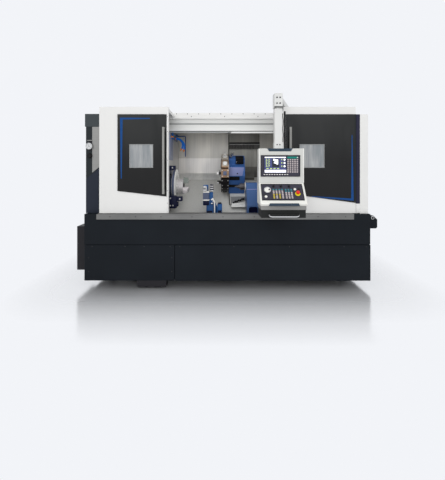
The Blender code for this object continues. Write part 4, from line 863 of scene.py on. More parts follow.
def add_gauge(place):
    """A pressure gauge: chrome rim, white dial, ticks and a pointer, under a small blank plate."""
    x, y, z = place
    out = TO_FRONT
    radius = 0.0405
    build("gauge_plate", "black", "machine",
        (block, (x - 0.018, y - 0.006, z - 0.052), (x + 0.03, y, z + 0.06), 0.002))
    x = x - 0.001
    build("gauge_rim", "chrome", "machine",
        (turned, [(0.0, radius * 0.75), (0.016, radius * 0.78), (0.018, radius * 0.98), (0.024, radius),
         (0.028, radius * 0.95), (0.028, radius * 0.84), (0.024, radius * 0.8), (0.024, 0.001)], place,
         out, 40))
    build("gauge_dial", "dial", "machine",
        (turned, [(0.0242, radius * 0.8), (0.0248, radius * 0.8), (0.0248, 0.0005)], place, out, 40))
    shape = bmesh.new()
    for tick in range(11):
        angle = math.radians(225 - 27 * tick)
        across = Vector((math.cos(angle), 0, math.sin(angle)))
        side = Vector((-across.z, 0, across.x)) * 0.0007
        centre = Vector((x + 0.001, y - 0.0250, z))
        near, far = centre + across * radius * 0.58, centre + across * radius * 0.74
        prism(shape, [near - side, far - side, far + side, near + side], (0, -0.0004, 0))
    pointer = Vector((math.cos(math.radians(120)), 0, math.sin(math.radians(120))))
    side = Vector((-pointer.z, 0, pointer.x)) * 0.0012
    centre = Vector((x + 0.001, y - 0.0254, z))
    tail, tip = centre - pointer * radius * 0.2, centre + pointer * radius * 0.62
    prism(shape, [tail - side, tip, tail + side], (0, -0.0006, 0))
    turned(shape, [(0.0, 0.004), (0.003, 0.0035), (0.003, 0.0002)], centre, out, 16)
    piece("gauge_marks", shape, "dark_steel", "machine", "rubber")
    build("gauge_label_bar", "trim", "machine",
        (block, (x - 0.0265, y - 0.005, z + 0.064), (x + 0.0285, y - TIGHT, z + 0.073), 0.001))


def add_knob(place):
    """A black regulator knob with a fluted rim."""
    shape = bmesh.new()
    radius = 0.027
    turned(shape, [(0.0, radius * 1.12), (0.006, radius * 1.12), (0.006, radius), (0.026, radius * 0.94),
                   (0.029, radius * 0.80), (0.029, 0.0005)], place, TO_FRONT, 32)
    for flute in range(16):
        angle = math.tau * flute / 16
        centre = Vector(place) + Vector((math.cos(angle), 0, math.sin(angle))) * radius * 0.98
        turned(shape, [(0.007, 0.0022), (0.025, 0.0020)], centre, TO_FRONT, 8)
    piece("regulator_knob", shape, "seam", "machine", "black_plastic")


# Top rail and beam

def dress_top():
    low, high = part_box("top_rail")
    shape = bmesh.new()
    count = 22
    for number in range(count):
        x = low.x + 0.12 + (high.x - low.x - 0.24) * number / (count - 1)
        screw(shape, (x, low.y + 0.0302, high.z - 0.012), TO_FRONT, 0.0055)
        if number % 3 == 1:
            screw(shape, (x + 0.05, low.y + 0.0302, high.z - 0.046), TO_FRONT, 0.0055)
    piece("top_rail_screws", shape, "dark_steel", "machine")
    low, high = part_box("front_top_beam")
    groove = (low.z + 0.080, low.z + 0.101)
    y = low.y
    build("beam_facings", "beam", "machine",
        (block, (low.x, y - 0.01, groove[1]), (high.x, y - SEATED, groove[1] + 0.046), 0.002),
        (block, (low.x, y - 0.014, low.z), (high.x, y - SEATED, groove[0]), 0.003))
    # Painted shade: a grey strip in the groove, where shade falls.
    build("beam_groove", "groove", "machine",
        (block, (low.x, y - 0.004, groove[0]), (high.x, y - SEATED, groove[1])))
    build("beam_skirt", "groove", "machine",
        (block, (-0.754, y + 0.006, low.z - 0.02), (0.048, y + 0.014, low.z - SEATED), 0.001))
    build("beam_seal", "seam", "machine",
        (block, (-0.754, y - 0.002, low.z - 0.006), (1.149, y + 0.004, low.z - SEATED)),
        (block, (0.012, y + 0.003, low.z - 0.03), (0.048, y + 0.013, low.z - 0.02), 0.001))
    build("beam_lower_rail", "mast", "machine",
        (block, (0.06, y + 0.01, low.z - 0.026), (1.149, y + 0.03, low.z - SEATED), 0.002))


# Sill and base

def dress_base():
    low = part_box("front_sill")[0]
    columns = (-1.35, -1.055, -0.7626, -0.4062, -0.05, 0.31, 0.7, 1.0425, 1.36)
    front_screws("sill_screws", "machine", [(x, low.y, 0.834) for x in columns], 0.0055)
    left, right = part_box("lower_left_panel"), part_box("lower_right_panel")
    places = [(x, left[0].y, left[1].z - 0.016) for x in (-1.56, -1.18, -0.96, -0.66)]
    places += [(x, right[0].y, right[1].z - 0.016) for x in (-0.55, 0.075, 0.715, 1.345, 1.6)]
    places += [(x, left[0].y, z) for x in (-1.6, -0.64) for z in (0.2, 0.36)]
    front_screws("base_panel_screws", "machine", places, 0.006)
    box_low, box_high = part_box("right_coolant_box")
    centre = Vector(((box_low.x + box_high.x) / 2 + 0.010, box_low.y, box_high.z - 0.024))
    build("coolant_port", "chrome", "machine",
        (turned, [(0.0, 0.0205), (0.006, 0.0205), (0.01, 0.018), (0.01, 0.014), (0.004, 0.013)], centre,
         TO_FRONT, 32))
    build("coolant_port_plug", "seam", "machine",
        (turned, [(TIGHT, 0.013), (0.005, 0.0128), (0.005, 0.0004)], centre, TO_FRONT, 24))
    strip_low, strip_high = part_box("right_corner_strip")
    sill_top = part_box("front_sill")[1].z
    build("corner_strip_foot", "white", "machine",
        (block, (strip_low.x + 0.0005, strip_low.y + 0.001, sill_top + 0.001),
         (strip_high.x, strip_low.y + 0.02, strip_low.z - 0.001), 0.001))


# Working space

FLANGE_THICKNESS = 0.034
NOSE_RADIUS = max(
    vertex.co.z for vertex in frame["nodes"]["headstock"].data.vertices
) - joints["chuck_spin"]["pos_m"][2]


def dress_headstock():
    """The spindle nose behind the chuck: bolts round it, lugs over and under it, a cover on the wall."""
    axis = Vector(joints["chuck_spin"]["pos_m"])
    wall_low, wall_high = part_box("left_inner_wall")
    wall = wall_high.x
    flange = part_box("chuck_body")[0].x
    shape = bmesh.new()
    for number in range(12):
        angle = math.tau * (number + 0.5) / 12
        out = Vector((0, math.cos(angle), math.sin(angle)))
        screw(shape, Vector(((wall + flange) / 2, axis.y, axis.z)) + out * NOSE_RADIUS, out, 0.010)
    piece("nose_bolts", shape, "dark_steel", "machine")
    build("nose_ring", "slate_block", "machine",
        (turned, [(0.0, NOSE_RADIUS + CLEAR), (0.0, NOSE_RADIUS + 0.006), (0.008, NOSE_RADIUS + 0.006),
         (0.008, NOSE_RADIUS + CLEAR)], (wall + CLEAR, axis.y, axis.z), TO_RIGHT, 64))
    build("nose_lugs", "deep_navy", "machine",
        (block, (wall + SEATED, FRONT + 0.345, 1.368), (-0.655, FRONT + 0.44, 1.424), 0.012),
        (block, (wall + SEATED, FRONT + 0.245, 0.893), (-0.626, FRONT + 0.33, 1.05), 0.014),
        (block, (-0.64, FRONT + 0.255, 0.982), (-0.552, FRONT + 0.325, 1.04), 0.01),
        (block, (-0.64, FRONT + 0.262, 0.915), (-0.606, FRONT + 0.318, 0.975), 0.008))
    build("nose_lug_bolts", "steel", "machine",
        *[(screw, (x, FRONT + (0.255 if x > -0.64 else 0.245), z), TO_FRONT, 0.009)
          for x, z in ((-0.585, 1.011), (-0.7, 1.02), (-0.668, 0.93), (-0.7, 0.93))],
        (screw, (-0.69, FRONT + 0.345, 1.396), TO_FRONT, 0.009))
    build("wall_front_cover", "wall_front", "machine",
        (block, (wall + SEATED, wall_low.y + 0.004, 1.5),
         (wall + 0.006, FRONT + 0.76, wall_high.z - 0.01), 0.002))


def dress_chuck():
    low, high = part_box("chuck_body")
    axis = joints["chuck_spin"]["pos_m"]
    step = low.x + FLANGE_THICKNESS
    seat = (step, axis[1], axis[2])
    rim = (high.z - low.z) / 2
    # A painted highlight: a bright white ring on the flange's steel rim.
    build("flange_face_ring", "rim_white", "chuck",
        (turned, [(CLEAR, rim - 0.0015), (0.0035, rim - 0.0015), (0.0045, rim - 0.003),
         (0.0045, rim - 0.024), (0.003, rim - 0.026)], seat, TO_RIGHT, 72), slot="steel")
    build("flange_band", "slate_block", "chuck",
        (turned, [(-0.03, rim - CLEAR), (-0.03, rim + 0.0008), (-0.004, rim + 0.0008),
         (-0.004, rim - CLEAR)], seat, TO_RIGHT, 72), slot="steel")
    build("chuck_bands", "steel", "chuck",
        (turned, [(CLEAR, 0.15), (0.004, 0.15), (0.006, 0.146), (0.006, 0.106)], seat, TO_RIGHT, 64),
        *[(turned, [(along, 0.1045), (along + 0.001, 0.1056), (along + 0.009, 0.1056),
           (along + 0.01, 0.1045), (along + 0.01, 0.09)], seat, TO_RIGHT, 64)
          for along in (0.012, 0.07)])
    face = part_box("chuck_body")[1].x
    build("chuck_bore_ring", "dark_steel", "chuck",
        (turned, [(CLEAR, 0.052), (0.006, 0.05), (0.006, 0.036), (-0.002, 0.034), (-0.002, 0.0005)],
         (face, axis[1], axis[2]), TO_RIGHT, 40))
    for number in range(3):
        angle = math.radians(90) + math.tau * number / 3
        out = Vector((0, math.cos(angle), math.sin(angle)))
        across = Vector((0, -out.z, out.y))
        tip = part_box(f"jaw_{number + 1}")[1].x
        shape = bmesh.new()
        for reach in (0.066, 0.098):
            screw(shape, Vector((tip, axis[1], axis[2])) + out * reach, TO_RIGHT, 0.0075)
        for side in (-1, 1):
            for along in (0.016, 0.030, 0.044):
                place = Vector((face + along, axis[1], axis[2])) + across * 0.020 * side
                inner, outer = place + out * 0.050, place + out * 0.118
                tube(shape, [inner, outer], 0.0011, 6)
        piece(f"jaw_{number + 1}_bolts", shape, "dark_steel", f"jaw_{number + 1}_body")


def jointed_hose(name, start, bend, turn, lean, segments, radius):
    """A jointed coolant hose of ball segments that curves over and down to an orange nozzle."""
    points = []
    for step in range(segments + 1):
        angle = turn * step / segments
        across = bend * math.sin(angle)
        drop = bend * (math.cos(angle) - 1)
        points.append(Vector(start) + Vector((across, lean * step / segments, drop)))
    shape = bmesh.new()
    for first, second in zip(points, points[1:]):
        run = second - first
        length = run.length
        turned(shape, [(0.0, radius * 0.72), (length * 0.25, radius), (length * 0.70, radius),
                       (length * 0.98, radius * 0.70)], first, run, 14)
    piece(f"{name}_segments", shape, "hose_blue", "machine")
    last = points[-1]
    run = (points[-1] - points[-2]).normalized()
    build(f"{name}_fittings", "orange", "machine",
        (turned, [(0.0, radius * 0.9), (0.01, radius), (0.03, radius * 0.45), (0.036, radius * 0.42)],
         last, run, 14),
        (turned, [(-0.02, radius * 1.15), (0.0, radius * 1.15)], points[0], TO_RIGHT, 6))


def dress_hoses():
    low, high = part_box("coolant_hose")
    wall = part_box("left_inner_wall")[1].x + 0.006
    middle = (low.y + high.y) / 2
    top = high.z - 0.012
    jointed_hose("hose_1", (wall + 0.024, middle - 0.030, top), 0.120, math.radians(108), 0.02, 15, 0.0140)
    jointed_hose("hose_2", (wall + 0.024, middle, top), 0.094, math.radians(122), -0.01, 14, 0.0140)
    build("coolant_manifold", "bright_blue", "machine",
        (block, (wall + SEATED, middle - 0.06, top - 0.024), (wall + 0.012, middle + 0.03, top + 0.024),
         0.002),
        *[(tube, [(wall + 0.014, y, top - 0.03), (wall + 0.014, y, top + 0.075)], 0.009)
          for y in (middle - 0.3, middle - 0.24, middle + 0.12)],
        (tube, [(wall + 0.014, middle - 0.3, top + 0.04), (wall + 0.014, middle + 0.12, top + 0.04)],
         0.009))
    build("manifold_plate", "green_plate", "machine",
        (block, (wall + SEATED, middle - 0.16, top + 0.014), (wall + 0.008, middle + 0.06, top + 0.03),
         0.002))
    build("manifold_fittings", "orange", "machine",
        *[(turned, [(-0.004, 0.014), (0.012, 0.014), (0.016, 0.01), (0.026, 0.01)],
           (wall + 0.004, y, top), TO_RIGHT, 6)
          for y in (middle - 0.3, middle - 0.27, middle - 0.03, middle)])
    y, pipe_top, drop = middle + 0.300, 1.885, -0.630
    build("coolant_drop_pipe", "film", "machine",
        (tube, [(wall + SEATED, y, pipe_top), (drop - 0.014, y, pipe_top),
         (drop - 0.004, y, pipe_top - 0.004), (drop, y, pipe_top - 0.014), (drop, y, pipe_top - 0.315)],
         0.007),
        (turned, [(0.0, 0.014), (0.01, 0.014)], (wall + SEATED, y, pipe_top), TO_RIGHT, 16))
    for number in (1, 2):
        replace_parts(bpy.data.objects[f"hose_{number}_segments"], "coolant_hose")


def dress_saddle():
    """The wiper along the sheet's left edge and down the slope below, and the rail over the bellows."""
    low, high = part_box("saddle_body")
    bellows_low, bellows_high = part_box("cross_slide_bellows")
    back_y = bellows_high.y
    edge = low.x - 0.012
    fold = bellows_low.z - 0.45
    along = Vector((0, -math.cos(SLANT), -math.sin(SLANT)))
    lift = Vector((0, -math.sin(SLANT), math.cos(SLANT))) * 0.016
    start = Vector((edge, back_y, fold + 0.004))
    outline = [start, start + along * 0.72, start + along * 0.72 + lift, start + lift]
    build("saddle_wiper", "rubber", "saddle",
        (block, (edge, back_y - 0.012, fold), (low.x - CLEAR, back_y + 0.01, high.z), 0.002),
        (prism, outline, (0.0116, 0, 0)))
    end = high.x + 0.090
    build("saddle_sheet_end", "saddle_sheet", "saddle",
        (block, (high.x + CLEAR, back_y, SHEET_FOLD + 0.046), (end, back_y + 0.018, high.z - 0.0006),
         0.002))
    build("bellows_end", "bellows", "saddle",
        (block, (high.x + CLEAR, bellows_low.y, bellows_low.z),
         (end - 0.001, back_y - SEATED, bellows_high.z)))
    top = bellows_high.z
    build("bellows_cap", "seam", "saddle",
        (block, (low.x + 0.001, back_y - 0.056, top + 0.002), (end - 0.001, back_y - SEATED, top + 0.02),
         0.002))
    build("bellows_rails", "trim", "saddle",
        (block, (low.x + 0.001, bellows_low.y - 0.004, top - 0.016),
         (end - 0.001, bellows_low.y - 0.0006, top - 0.006), 0.001),
        (block, (low.x + 0.001, back_y - 0.056, bellows_low.z - 0.006),
         (end - 0.001, back_y - SEATED, bellows_low.z - 0.0006), 0.001))
    shape = bmesh.new()
    for number in range(4):
        z = top - 0.026 - number * 0.014
        near, far = bellows_low.y - 0.0026, bellows_low.y - TIGHT
        block(shape, (low.x + 0.002, near, z - 0.002), (end - 0.002, far, z))
    piece("bellows_folds", shape, "seam", "saddle")


# Turret

class Turret:
    """The disc's frame: a station points out at its angle, and a slope point lies along and over the ways."""

    centre = Vector(joints["turret_index"]["pos_m"])
    stations = 12
    up_ways = Vector((0, math.cos(SLANT), math.sin(SLANT)))
    over_ways = Vector((0, -math.sin(SLANT), math.cos(SLANT)))

    @classmethod
    def directions(cls, station):
        """Station 0 faces the camera, and the numbers go up over the top."""
        angle = math.pi - math.tau * station / cls.stations
        out = Vector((0, math.cos(angle), math.sin(angle)))
        return out, Vector((0, -out.z, out.y))

    @classmethod
    def slope_point(cls, along, over, x=0.0):
        point = cls.centre + cls.up_ways * along + cls.over_ways * over
        point.x = x
        return point

    @classmethod
    def holder(cls, shape, station, x, radial, width, bevel=0.003):
        """A block that stands out from the rim at a station."""
        out, across = cls.directions(station)
        side = across * width / 2
        near, far = cls.centre + out * radial[0], cls.centre + out * radial[1]
        outline = [near - side, far - side, far + side, near + side]
        left = cls.centre.x + x[0]
        prism(shape, [Vector((left, point.y, point.z)) for point in outline], (x[1] - x[0], 0, 0), bevel)

    @classmethod
    def rim_point(cls, station, x, radius, aside=0.0):
        out, across = cls.directions(station)
        return cls.centre + Vector((x, 0, 0)) + out * radius + across * aside


def boring_holder(shapes, station):
    """A light block with a round, dark bore."""
    Turret.holder(shapes["holder"], station, (0.008, 0.103), (0.210, 0.268), 0.112)
    out = Turret.directions(station)[0]
    face = Turret.rim_point(station, 0.0555, 0.268)
    turned(shapes["steel"], [(0.0, 0.036), (0.008, 0.036), (0.012, 0.031), (0.012, 0.024)], face, out, 28)
    turned(shapes["black_oxide"], [(CLEAR, 0.024), (0.0112, 0.024), (0.0112, 0.0004)], face, out, 28)


def collet_holder(shapes, station):
    """A bronze-coloured block with a silver collet nut."""
    Turret.holder(shapes["bronze"], station, (0.006, 0.105), (0.210, 0.262), 0.114)
    Turret.holder(shapes["holder"], station, (0.020, 0.091), (0.262, 0.268), 0.080)
    out = Turret.directions(station)[0]
    face = Turret.rim_point(station, 0.0555, 0.268)
    turned(shapes["steel"], [(0.0, 0.030), (0.010, 0.030), (0.013, 0.026), (0.013, 0.019)], face, out, 28)
    turned(shapes["black_oxide"], [(CLEAR, 0.019), (0.012, 0.019), (0.012, 0.0004)], face, out, 20)


def turning_holder(shapes, station, body, armed):
    """A block with a clamp wedge and, where armed, a square tool that points to the chuck."""
    Turret.holder(shapes[body], station, (0.002, 0.109), (0.210, 0.270), 0.118)
    wedge = "slate_block" if body == "bronze" else "black_oxide"
    Turret.holder(shapes[wedge], station, (0.030, 0.078), (0.270, 0.277), 0.056)
    for aside in (-0.040, 0.040):
        out = Turret.directions(station)[0]
        for x in (0.016, 0.095):
            screw(shapes["steel"], Turret.rim_point(station, x, 0.270, aside), out, 0.007)
    if armed:
        Turret.holder(shapes["black_oxide"], station, (-0.052, 0.006), (0.232, 0.262), 0.036, 0.002)
        Turret.holder(shapes["steel"], station, (-0.056, -0.030), (0.262, 0.275), 0.030, 0.002)


def dress_turret():
    """The disc with the tool holders round it, as the photograph shows them from the front to the top."""
    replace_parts(build("turret_disc_body", "dark_steel", "turret",
        (turned, [(0.0, 0.205), (0.008, 0.213), (0.103, 0.213), (0.111, 0.205)], Turret.centre, TO_RIGHT,
         Turret.stations * 6), slot="cast_iron"), "turret_disc")
    kinds = ("holder", "bronze", "black_oxide", "steel", "slate_block")
    shapes = {kind: bmesh.new() for kind in kinds}
    for station in range(Turret.stations):
        if station in (2, 3, 6):
            boring_holder(shapes, station)
        elif station in (1, 4, 8):
            collet_holder(shapes, station)
        else:
            body = "bronze" if station in (0, 5) else "black_oxide"
            turning_holder(shapes, station, body, station in (0, 11))
        out, across = Turret.directions(station)
        for aside in (-0.034, 0.034):
            place = Turret.centre + out * 0.186 + across * aside
            screw(shapes["steel"], place, (-1, 0, 0), 0.009)
    for kind, shape in shapes.items():
        slot = "steel" if kind in ("steel", "holder", "bronze") else "cast_iron"
        piece(f"turret_{kind}_parts", shape, kind, "turret", slot)
    build("turret_cap_and_rim", "chrome", "turret",
        (turned, [(0.0, 0.15), (0.006, 0.15), (0.01, 0.14), (0.01, 0.06), (0.022, 0.055),
         (0.022, 0.0005)], Turret.centre, (-1, 0, 0), 48),
        (turned, [(0.1035, 0.2256), (0.1038, 0.23), (0.1105, 0.23), (0.1108, 0.2256)], Turret.centre,
         TO_RIGHT, 72), slot="steel")


# Pendant

class Face:
    """Places on a flat panel of the console: across from its left edge, down from its top edge, and out."""

    def __init__(self, left, down, out):
        self.left = Vector(left)
        self.down = Vector(down).normalized()
        self.out = Vector(out).normalized()

    def at(self, across, down, out=0.0):
        return self.left + Vector((across, 0, 0)) + self.down * down + self.out * out

    def slab(self, shape, across, down, out, bevel=0.0):
        near = [self.at(across[0], down[0], out[0]), self.at(across[1], down[0], out[0]),
                self.at(across[1], down[1], out[0]), self.at(across[0], down[1], out[0])]
        prism(shape, near, self.out * (out[1] - out[0]), bevel)


def frame_strips(face, width, height, edge):
    """The four strips round a panel's border."""
    shape = bmesh.new()
    for across, down in (
        ((0, width), (0, edge)), ((0, width), (height - edge, height)),
        ((0, edge), (edge, height - edge)), ((width - edge, width), (edge, height - edge)),
    ):
        face.slab(shape, across, down, (TIGHT, 0.003), 0.0008)
    return shape


def dress_display():
    low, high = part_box("display_panel")
    face = Face((low.x, low.y, high.z), (0, 0, -1), TO_FRONT)
    width, height = high.x - low.x, high.z - low.z
    piece("display_frame", frame_strips(face, width, height, 0.006), "panel_edge", "pendant")
    dress_screen(face)
    keys = {"key": bmesh.new(), "teal": bmesh.new(), "white_plastic": bmesh.new()}
    first, top = 0.272, 0.041
    pitch_x, pitch_z = 0.0236, 0.0208
    for row in range(7):
        for column in range(5):
            across = first + column * pitch_x
            down = top + row * pitch_z
            face.slab(keys["key"], (across, across + 0.0155), (down, down + 0.0125), (TIGHT, 0.003), 0.0008)
    face.slab(keys["teal"], (first - 0.001, first + 0.111), (0.0150, 0.0335), (TIGHT, 0.0012))
    centre = face.at(first + 0.104, 0.024, 0.001)
    turned(keys["white_plastic"], [(0.0, 0.006), (0.003, 0.005), (0.003, 0.0003)], centre, face.out, 16)
    for number in range(10):
        across = 0.030 + number * 0.0262
        face.slab(keys["white_plastic"], (across, across + 0.015), (0.194, 0.2015), (TIGHT, 0.0026), 0.0008)
    for kind, shape in keys.items():
        piece(f"display_{kind}_keys", shape, kind, "pendant", "dark_grey_paint")


def dress_screen(face):
    """A made-up cutting display: bars, columns of dashes, a part outline and round softkeys."""
    left, right, top, bottom = 0.0378, 0.2606, 0.0155, 0.1808
    bezel = 0.007
    build("screen_bezel", "seam", "pendant",
        (face.slab, (left - bezel, right + bezel), (top - bezel, bottom + bezel), (TIGHT, 0.0016),
         0.0006), slot="black_plastic")
    build("screen_back", "screen", "pendant",
        (face.slab, (left, right), (top, bottom), (0.0017, 0.0022)))
    white = bmesh.new()
    green = bmesh.new()
    dark = bmesh.new()
    lift = (0.0023, 0.0027)
    face.slab(white, (left + 0.002, right - 0.004), (top + 0.002, top + 0.012), lift)
    face.slab(white, (left + 0.002, right - 0.002), (bottom - 0.030, bottom - 0.003), lift)
    face.slab(dark, (left + 0.078, left + 0.152), (top + 0.018, bottom - 0.058), lift)
    for row in range(9):
        down = top + 0.020 + row * 0.0096
        face.slab(green, (left + 0.014, left + 0.024 + 0.004 * (row % 3)), (down, down + 0.0052), lift)
        face.slab(green, (left + 0.040, left + 0.050 + 0.006 * (row % 2)), (down, down + 0.0052), lift)
    outline = [(0.090, 0.036), (0.112, 0.036), (0.112, 0.042), (0.142, 0.042), (0.142, 0.094), (0.126, 0.094),
               (0.118, 0.086), (0.098, 0.082), (0.098, 0.068), (0.112, 0.062), (0.090, 0.054)]
    points = [face.at(left + across - 0.002, top + down - 0.014, 0.0028) for across, down in outline]
    prism(white, points, face.out * 0.0004)
    for row in range(3):
        down = top + 0.018 + row * 0.034
        face.slab(dark, (right - 0.036, right - 0.003), (down, down + 0.027), lift)
        centre = face.at(right - 0.018, down + 0.0125, 0.0027)
        turned(white, [(0.0, 0.0105), (0.0004, 0.0105), (0.0004, 0.0002)], centre, face.out, 20)
        face.slab(green, (right - 0.050, right - 0.041), (down + 0.004, down + 0.018), lift)
    for column in range(4):
        across = left + 0.020 + column * 0.036
        face.slab(green, (across, across + 0.022), (bottom - 0.049, bottom - 0.040), lift)
    piece("screen_white_marks", white, "screen_white", "pendant")
    piece("screen_green_marks", green, "screen_green", "pendant")
    piece("screen_dark_fields", dark, "screen_dark", "pendant")


def console_slope():
    """The sloping control panel's face, its length and its width."""
    low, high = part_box("control_panel")
    wheel = joints["handwheel_spin"]
    out = Vector(wheel["axis"]).normalized()
    down = Vector((0, -out.z, out.y))
    point = Vector(wheel["pos_m"])
    vertices = [v.co for v in frame["nodes"]["control_panel"].data.vertices]
    reach = [(v - point).dot(down) for v in vertices]
    rise = max((v - point).dot(out) for v in vertices)
    start = point + down * min(reach) + out * rise
    face = Face((low.x, start.y, start.z), down, out)
    return face, max(reach) - min(reach), high.x - low.x


def dress_controls():
    face, length, width = console_slope()
    piece("control_frame", frame_strips(face, width, length, 0.006), "panel_edge", "pendant")
    keys = {"key": bmesh.new(), "key_yellow": bmesh.new(), "key_teal": bmesh.new()}
    columns = (0.1225, 0.1515, 0.1815, 0.2105, 0.2465, 0.2745, 0.3025)
    for number, across in enumerate(columns):
        for row in range(6):
            down = 0.062 + row * 0.0195
            kind = "key"
            if row == 0 or (row == 1 and number > 3):
                kind = "key_teal"
            elif row > 2 and number < 3 and (number != 1 or row < 4):
                kind = "key_yellow"
            span, drop = (across - 0.008, across + 0.008), (down, down + 0.0135)
            face.slab(keys[kind], span, drop, (TIGHT, 0.0042), 0.001)
    for kind, shape in keys.items():
        piece(f"control_{kind}s", shape, kind, "pendant", "dark_grey_paint")
    build("override_knobs", "black", "pendant",
        *[(turned, [(TIGHT, 0.014), (0.004, 0.014), (0.006, 0.01), (0.018, 0.008), (0.02, 0.006),
           (0.02, 0.0003)], face.at(across, 0.03), face.out, 20)
          for across in (0.127, 0.202, 0.284)])
    build("white_buttons", "white_plastic", "pendant",
        *[(turned, [(TIGHT, 0.0135), (0.005, 0.0135), (0.008, 0.01), (0.008, 0.0003)],
           face.at(across, down), face.out, 24)
          for across, down in ((0.042, 0.152), (0.34, 0.066))])
    build("key_switches", "dark_steel", "pendant",
        (turned, [(TIGHT, 0.014), (0.004, 0.014), (0.005, 0.01), (0.012, 0.008), (0.012, 0.0003)],
         face.at(0.38, 0.06), face.out, 24),
        (turned, [(TIGHT, 0.011), (0.004, 0.011), (0.005, 0.007), (0.01, 0.006), (0.01, 0.0003)],
         face.at(0.024, 0.128), face.out, 24), slot="chrome")
    dress_stop(face)
    dress_wheel()


def dress_stop(face):
    """The stop button: a mushroom head over a yellow collar."""
    low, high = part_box("stop_button")
    centre = (low + high) / 2
    out = face.out
    rise = (centre - face.left).dot(out)
    seat = centre - out * rise
    build("stop_collar", "yellow", "pendant",
        (turned, [(TIGHT, 0.0265), (0.004, 0.0265), (0.0055, 0.025), (0.0055, 0.012), (0.004, 0.0004)],
         seat + face.down * 0.006, out, 36))
    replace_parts(build("stop_head", "red", "pendant",
        (turned, [(0.0058, 0.012), (0.012, 0.012), (0.013, 0.0195), (0.02, 0.02), (0.0255, 0.017),
         (0.0285, 0.01), (0.0295, 0.0004)], seat, out, 36)), "stop_button")


def dress_wheel():
    """The handwheel: a pale dial with a chrome rim and a grip."""
    wheel = joints["handwheel_spin"]
    out = Vector(wheel["axis"]).normalized()
    node = frame["nodes"]["handwheel"]
    seat = Vector(wheel["pos_m"])
    reach = [(v.co - seat).dot(out) for v in node.data.vertices]
    base = seat + out * min(reach)
    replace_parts(build("handwheel_rim", "chrome", "handwheel_body",
        (turned, [(0.0, 0.03), (0.003, 0.036), (0.011, 0.037), (0.015, 0.035), (0.016, 0.029),
         (0.012, 0.026), (0.012, 0.0005)], base, out, 44)), "handwheel")
    build("handwheel_dial", "white_plastic", "handwheel_body",
        (turned, [(0.0121, 0.0255), (0.0135, 0.0255), (0.014, 0.01), (0.018, 0.009), (0.018, 0.0004)],
         base, out, 40))
    side = Vector(TO_RIGHT)
    build("handwheel_grip", "black", "handwheel_body",
        (turned, [(0.0142, 0.0065), (0.024, 0.0065), (0.026, 0.005), (0.026, 0.0003)],
         base + side * 0.017, out, 20))


def dress_console():
    low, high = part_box("console")
    display_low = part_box("display_panel")[0]
    face_y = display_low.y + 0.0063
    top = high.z
    outline = [(0.4036, top - CLEAR), (0.6644, top - CLEAR), (0.6480, top - 0.030), (0.4231, top - 0.030)]
    build("console_top_inlay", "slate_inlay", "pendant",
        (prism, on_front(outline, face_y - TIGHT), (0, -0.0022, 0)))
    outline = [(0.409, low.z + 0.029), (0.689, low.z + 0.029), (0.701, low.z + 0.004), (0.397, low.z + 0.004)]
    build("console_slot_inlay", "slate_inlay", "pendant",
        (prism, on_front(outline, low.y - CLEAR), (0, -0.0155, 0), 0.001), slot="navy_paint")
    rim = 0.006
    build("console_upright_rims", "rim_white", "pendant",
        *[(block, (x - 0.001, face_y - 0.003, display_low.z - 0.062),
           (x + rim + 0.001, face_y - TIGHT, top), 0.0012)
          for x in (low.x, high.x - rim)], slot="white_paint")
    dress_tray()
    dress_mast()


def dress_tray():
    """The grey lip under the console and the tray's bright pull handle."""
    console_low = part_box("console")[0]
    low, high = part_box("pendant_tray")
    lip_top = console_low.z - 0.0006
    build("console_lip", "lip", "pendant",
        (block, (low.x - 0.004, high.y - 0.262, lip_top - 0.04), (high.x + 0.004, high.y, lip_top),
         0.003))
    shape = bmesh.new()
    left, right = 0.402, 0.693
    front, back = low.y + 0.0085, low.y + 0.052
    z = console_low.z - 0.072
    points = [(left, back, z), (left + 0.002, front + 0.020, z - 0.010)]
    for step in range(5):
        angle = math.radians(90 * step / 4)
        points.append((left + 0.030 - 0.028 * math.cos(angle), front, z - 0.014 - 0.016 * math.sin(angle)))
    points += [(left + right - x, y, height) for x, y, height in reversed(points)]
    tube(shape, points, 0.0075, 14)
    piece("tray_pull", shape, "chrome", "pendant")


def dress_mast():
    """The mast's foot flange and bolts, its cable duct, and the arm's end plate."""
    console_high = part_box("console")[1]
    low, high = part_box("pendant_mast")
    middle = (low.x + high.x) / 2
    foot = console_high.z
    build("mast_flange", "mast", "pendant",
        (block, (low.x - 0.004, low.y - 0.004, foot + CLEAR),
         (high.x + 0.004, high.y + 0.004, foot + 0.068), 0.003))
    places = [(x, low.y - 0.004, foot + 0.042) for x in (middle - 0.014, middle + 0.014)]
    front_screws("mast_flange_bolts", "pendant", places, 0.007)
    build("mast_cable_duct", "mast", "pendant",
        (block, (high.x + 0.0005, low.y + 0.01, foot + CLEAR),
         (high.x + 0.016, high.y - 0.004, high.z - 0.03), 0.003))
    shape = bmesh.new()
    points = [(high.x + 0.010, low.y + 0.006, foot + 0.070)]
    for step in range(8):
        z = foot + 0.070 + (high.z - 0.060 - foot - 0.070) * (step + 1) / 8
        points.append((high.x + 0.010 + 0.004 * math.sin(step * 1.7), low.y + 0.006, z))
    tube(shape, points, 0.0035, 8)
    piece("mast_cable", shape, "seam", "pendant")
    arm_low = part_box("pendant_arm")[0]
    places = [(middle + x, arm_low.y, arm_low.z + z) for x in (-0.016, 0.016) for z in (0.045, 0.105)]
    front_screws("arm_head_bolts", "machine", places, 0.008)
    half = (high.x - low.x) / 2 + 0.006
    build("arm_head_seam", "dark_steel", "machine",
        (block, (middle - half, arm_low.y - 0.0035, arm_low.z + 0.001),
         (middle + half, arm_low.y - SEATED, arm_low.z + 0.012), 0.001))


# Steady rest and tailstock

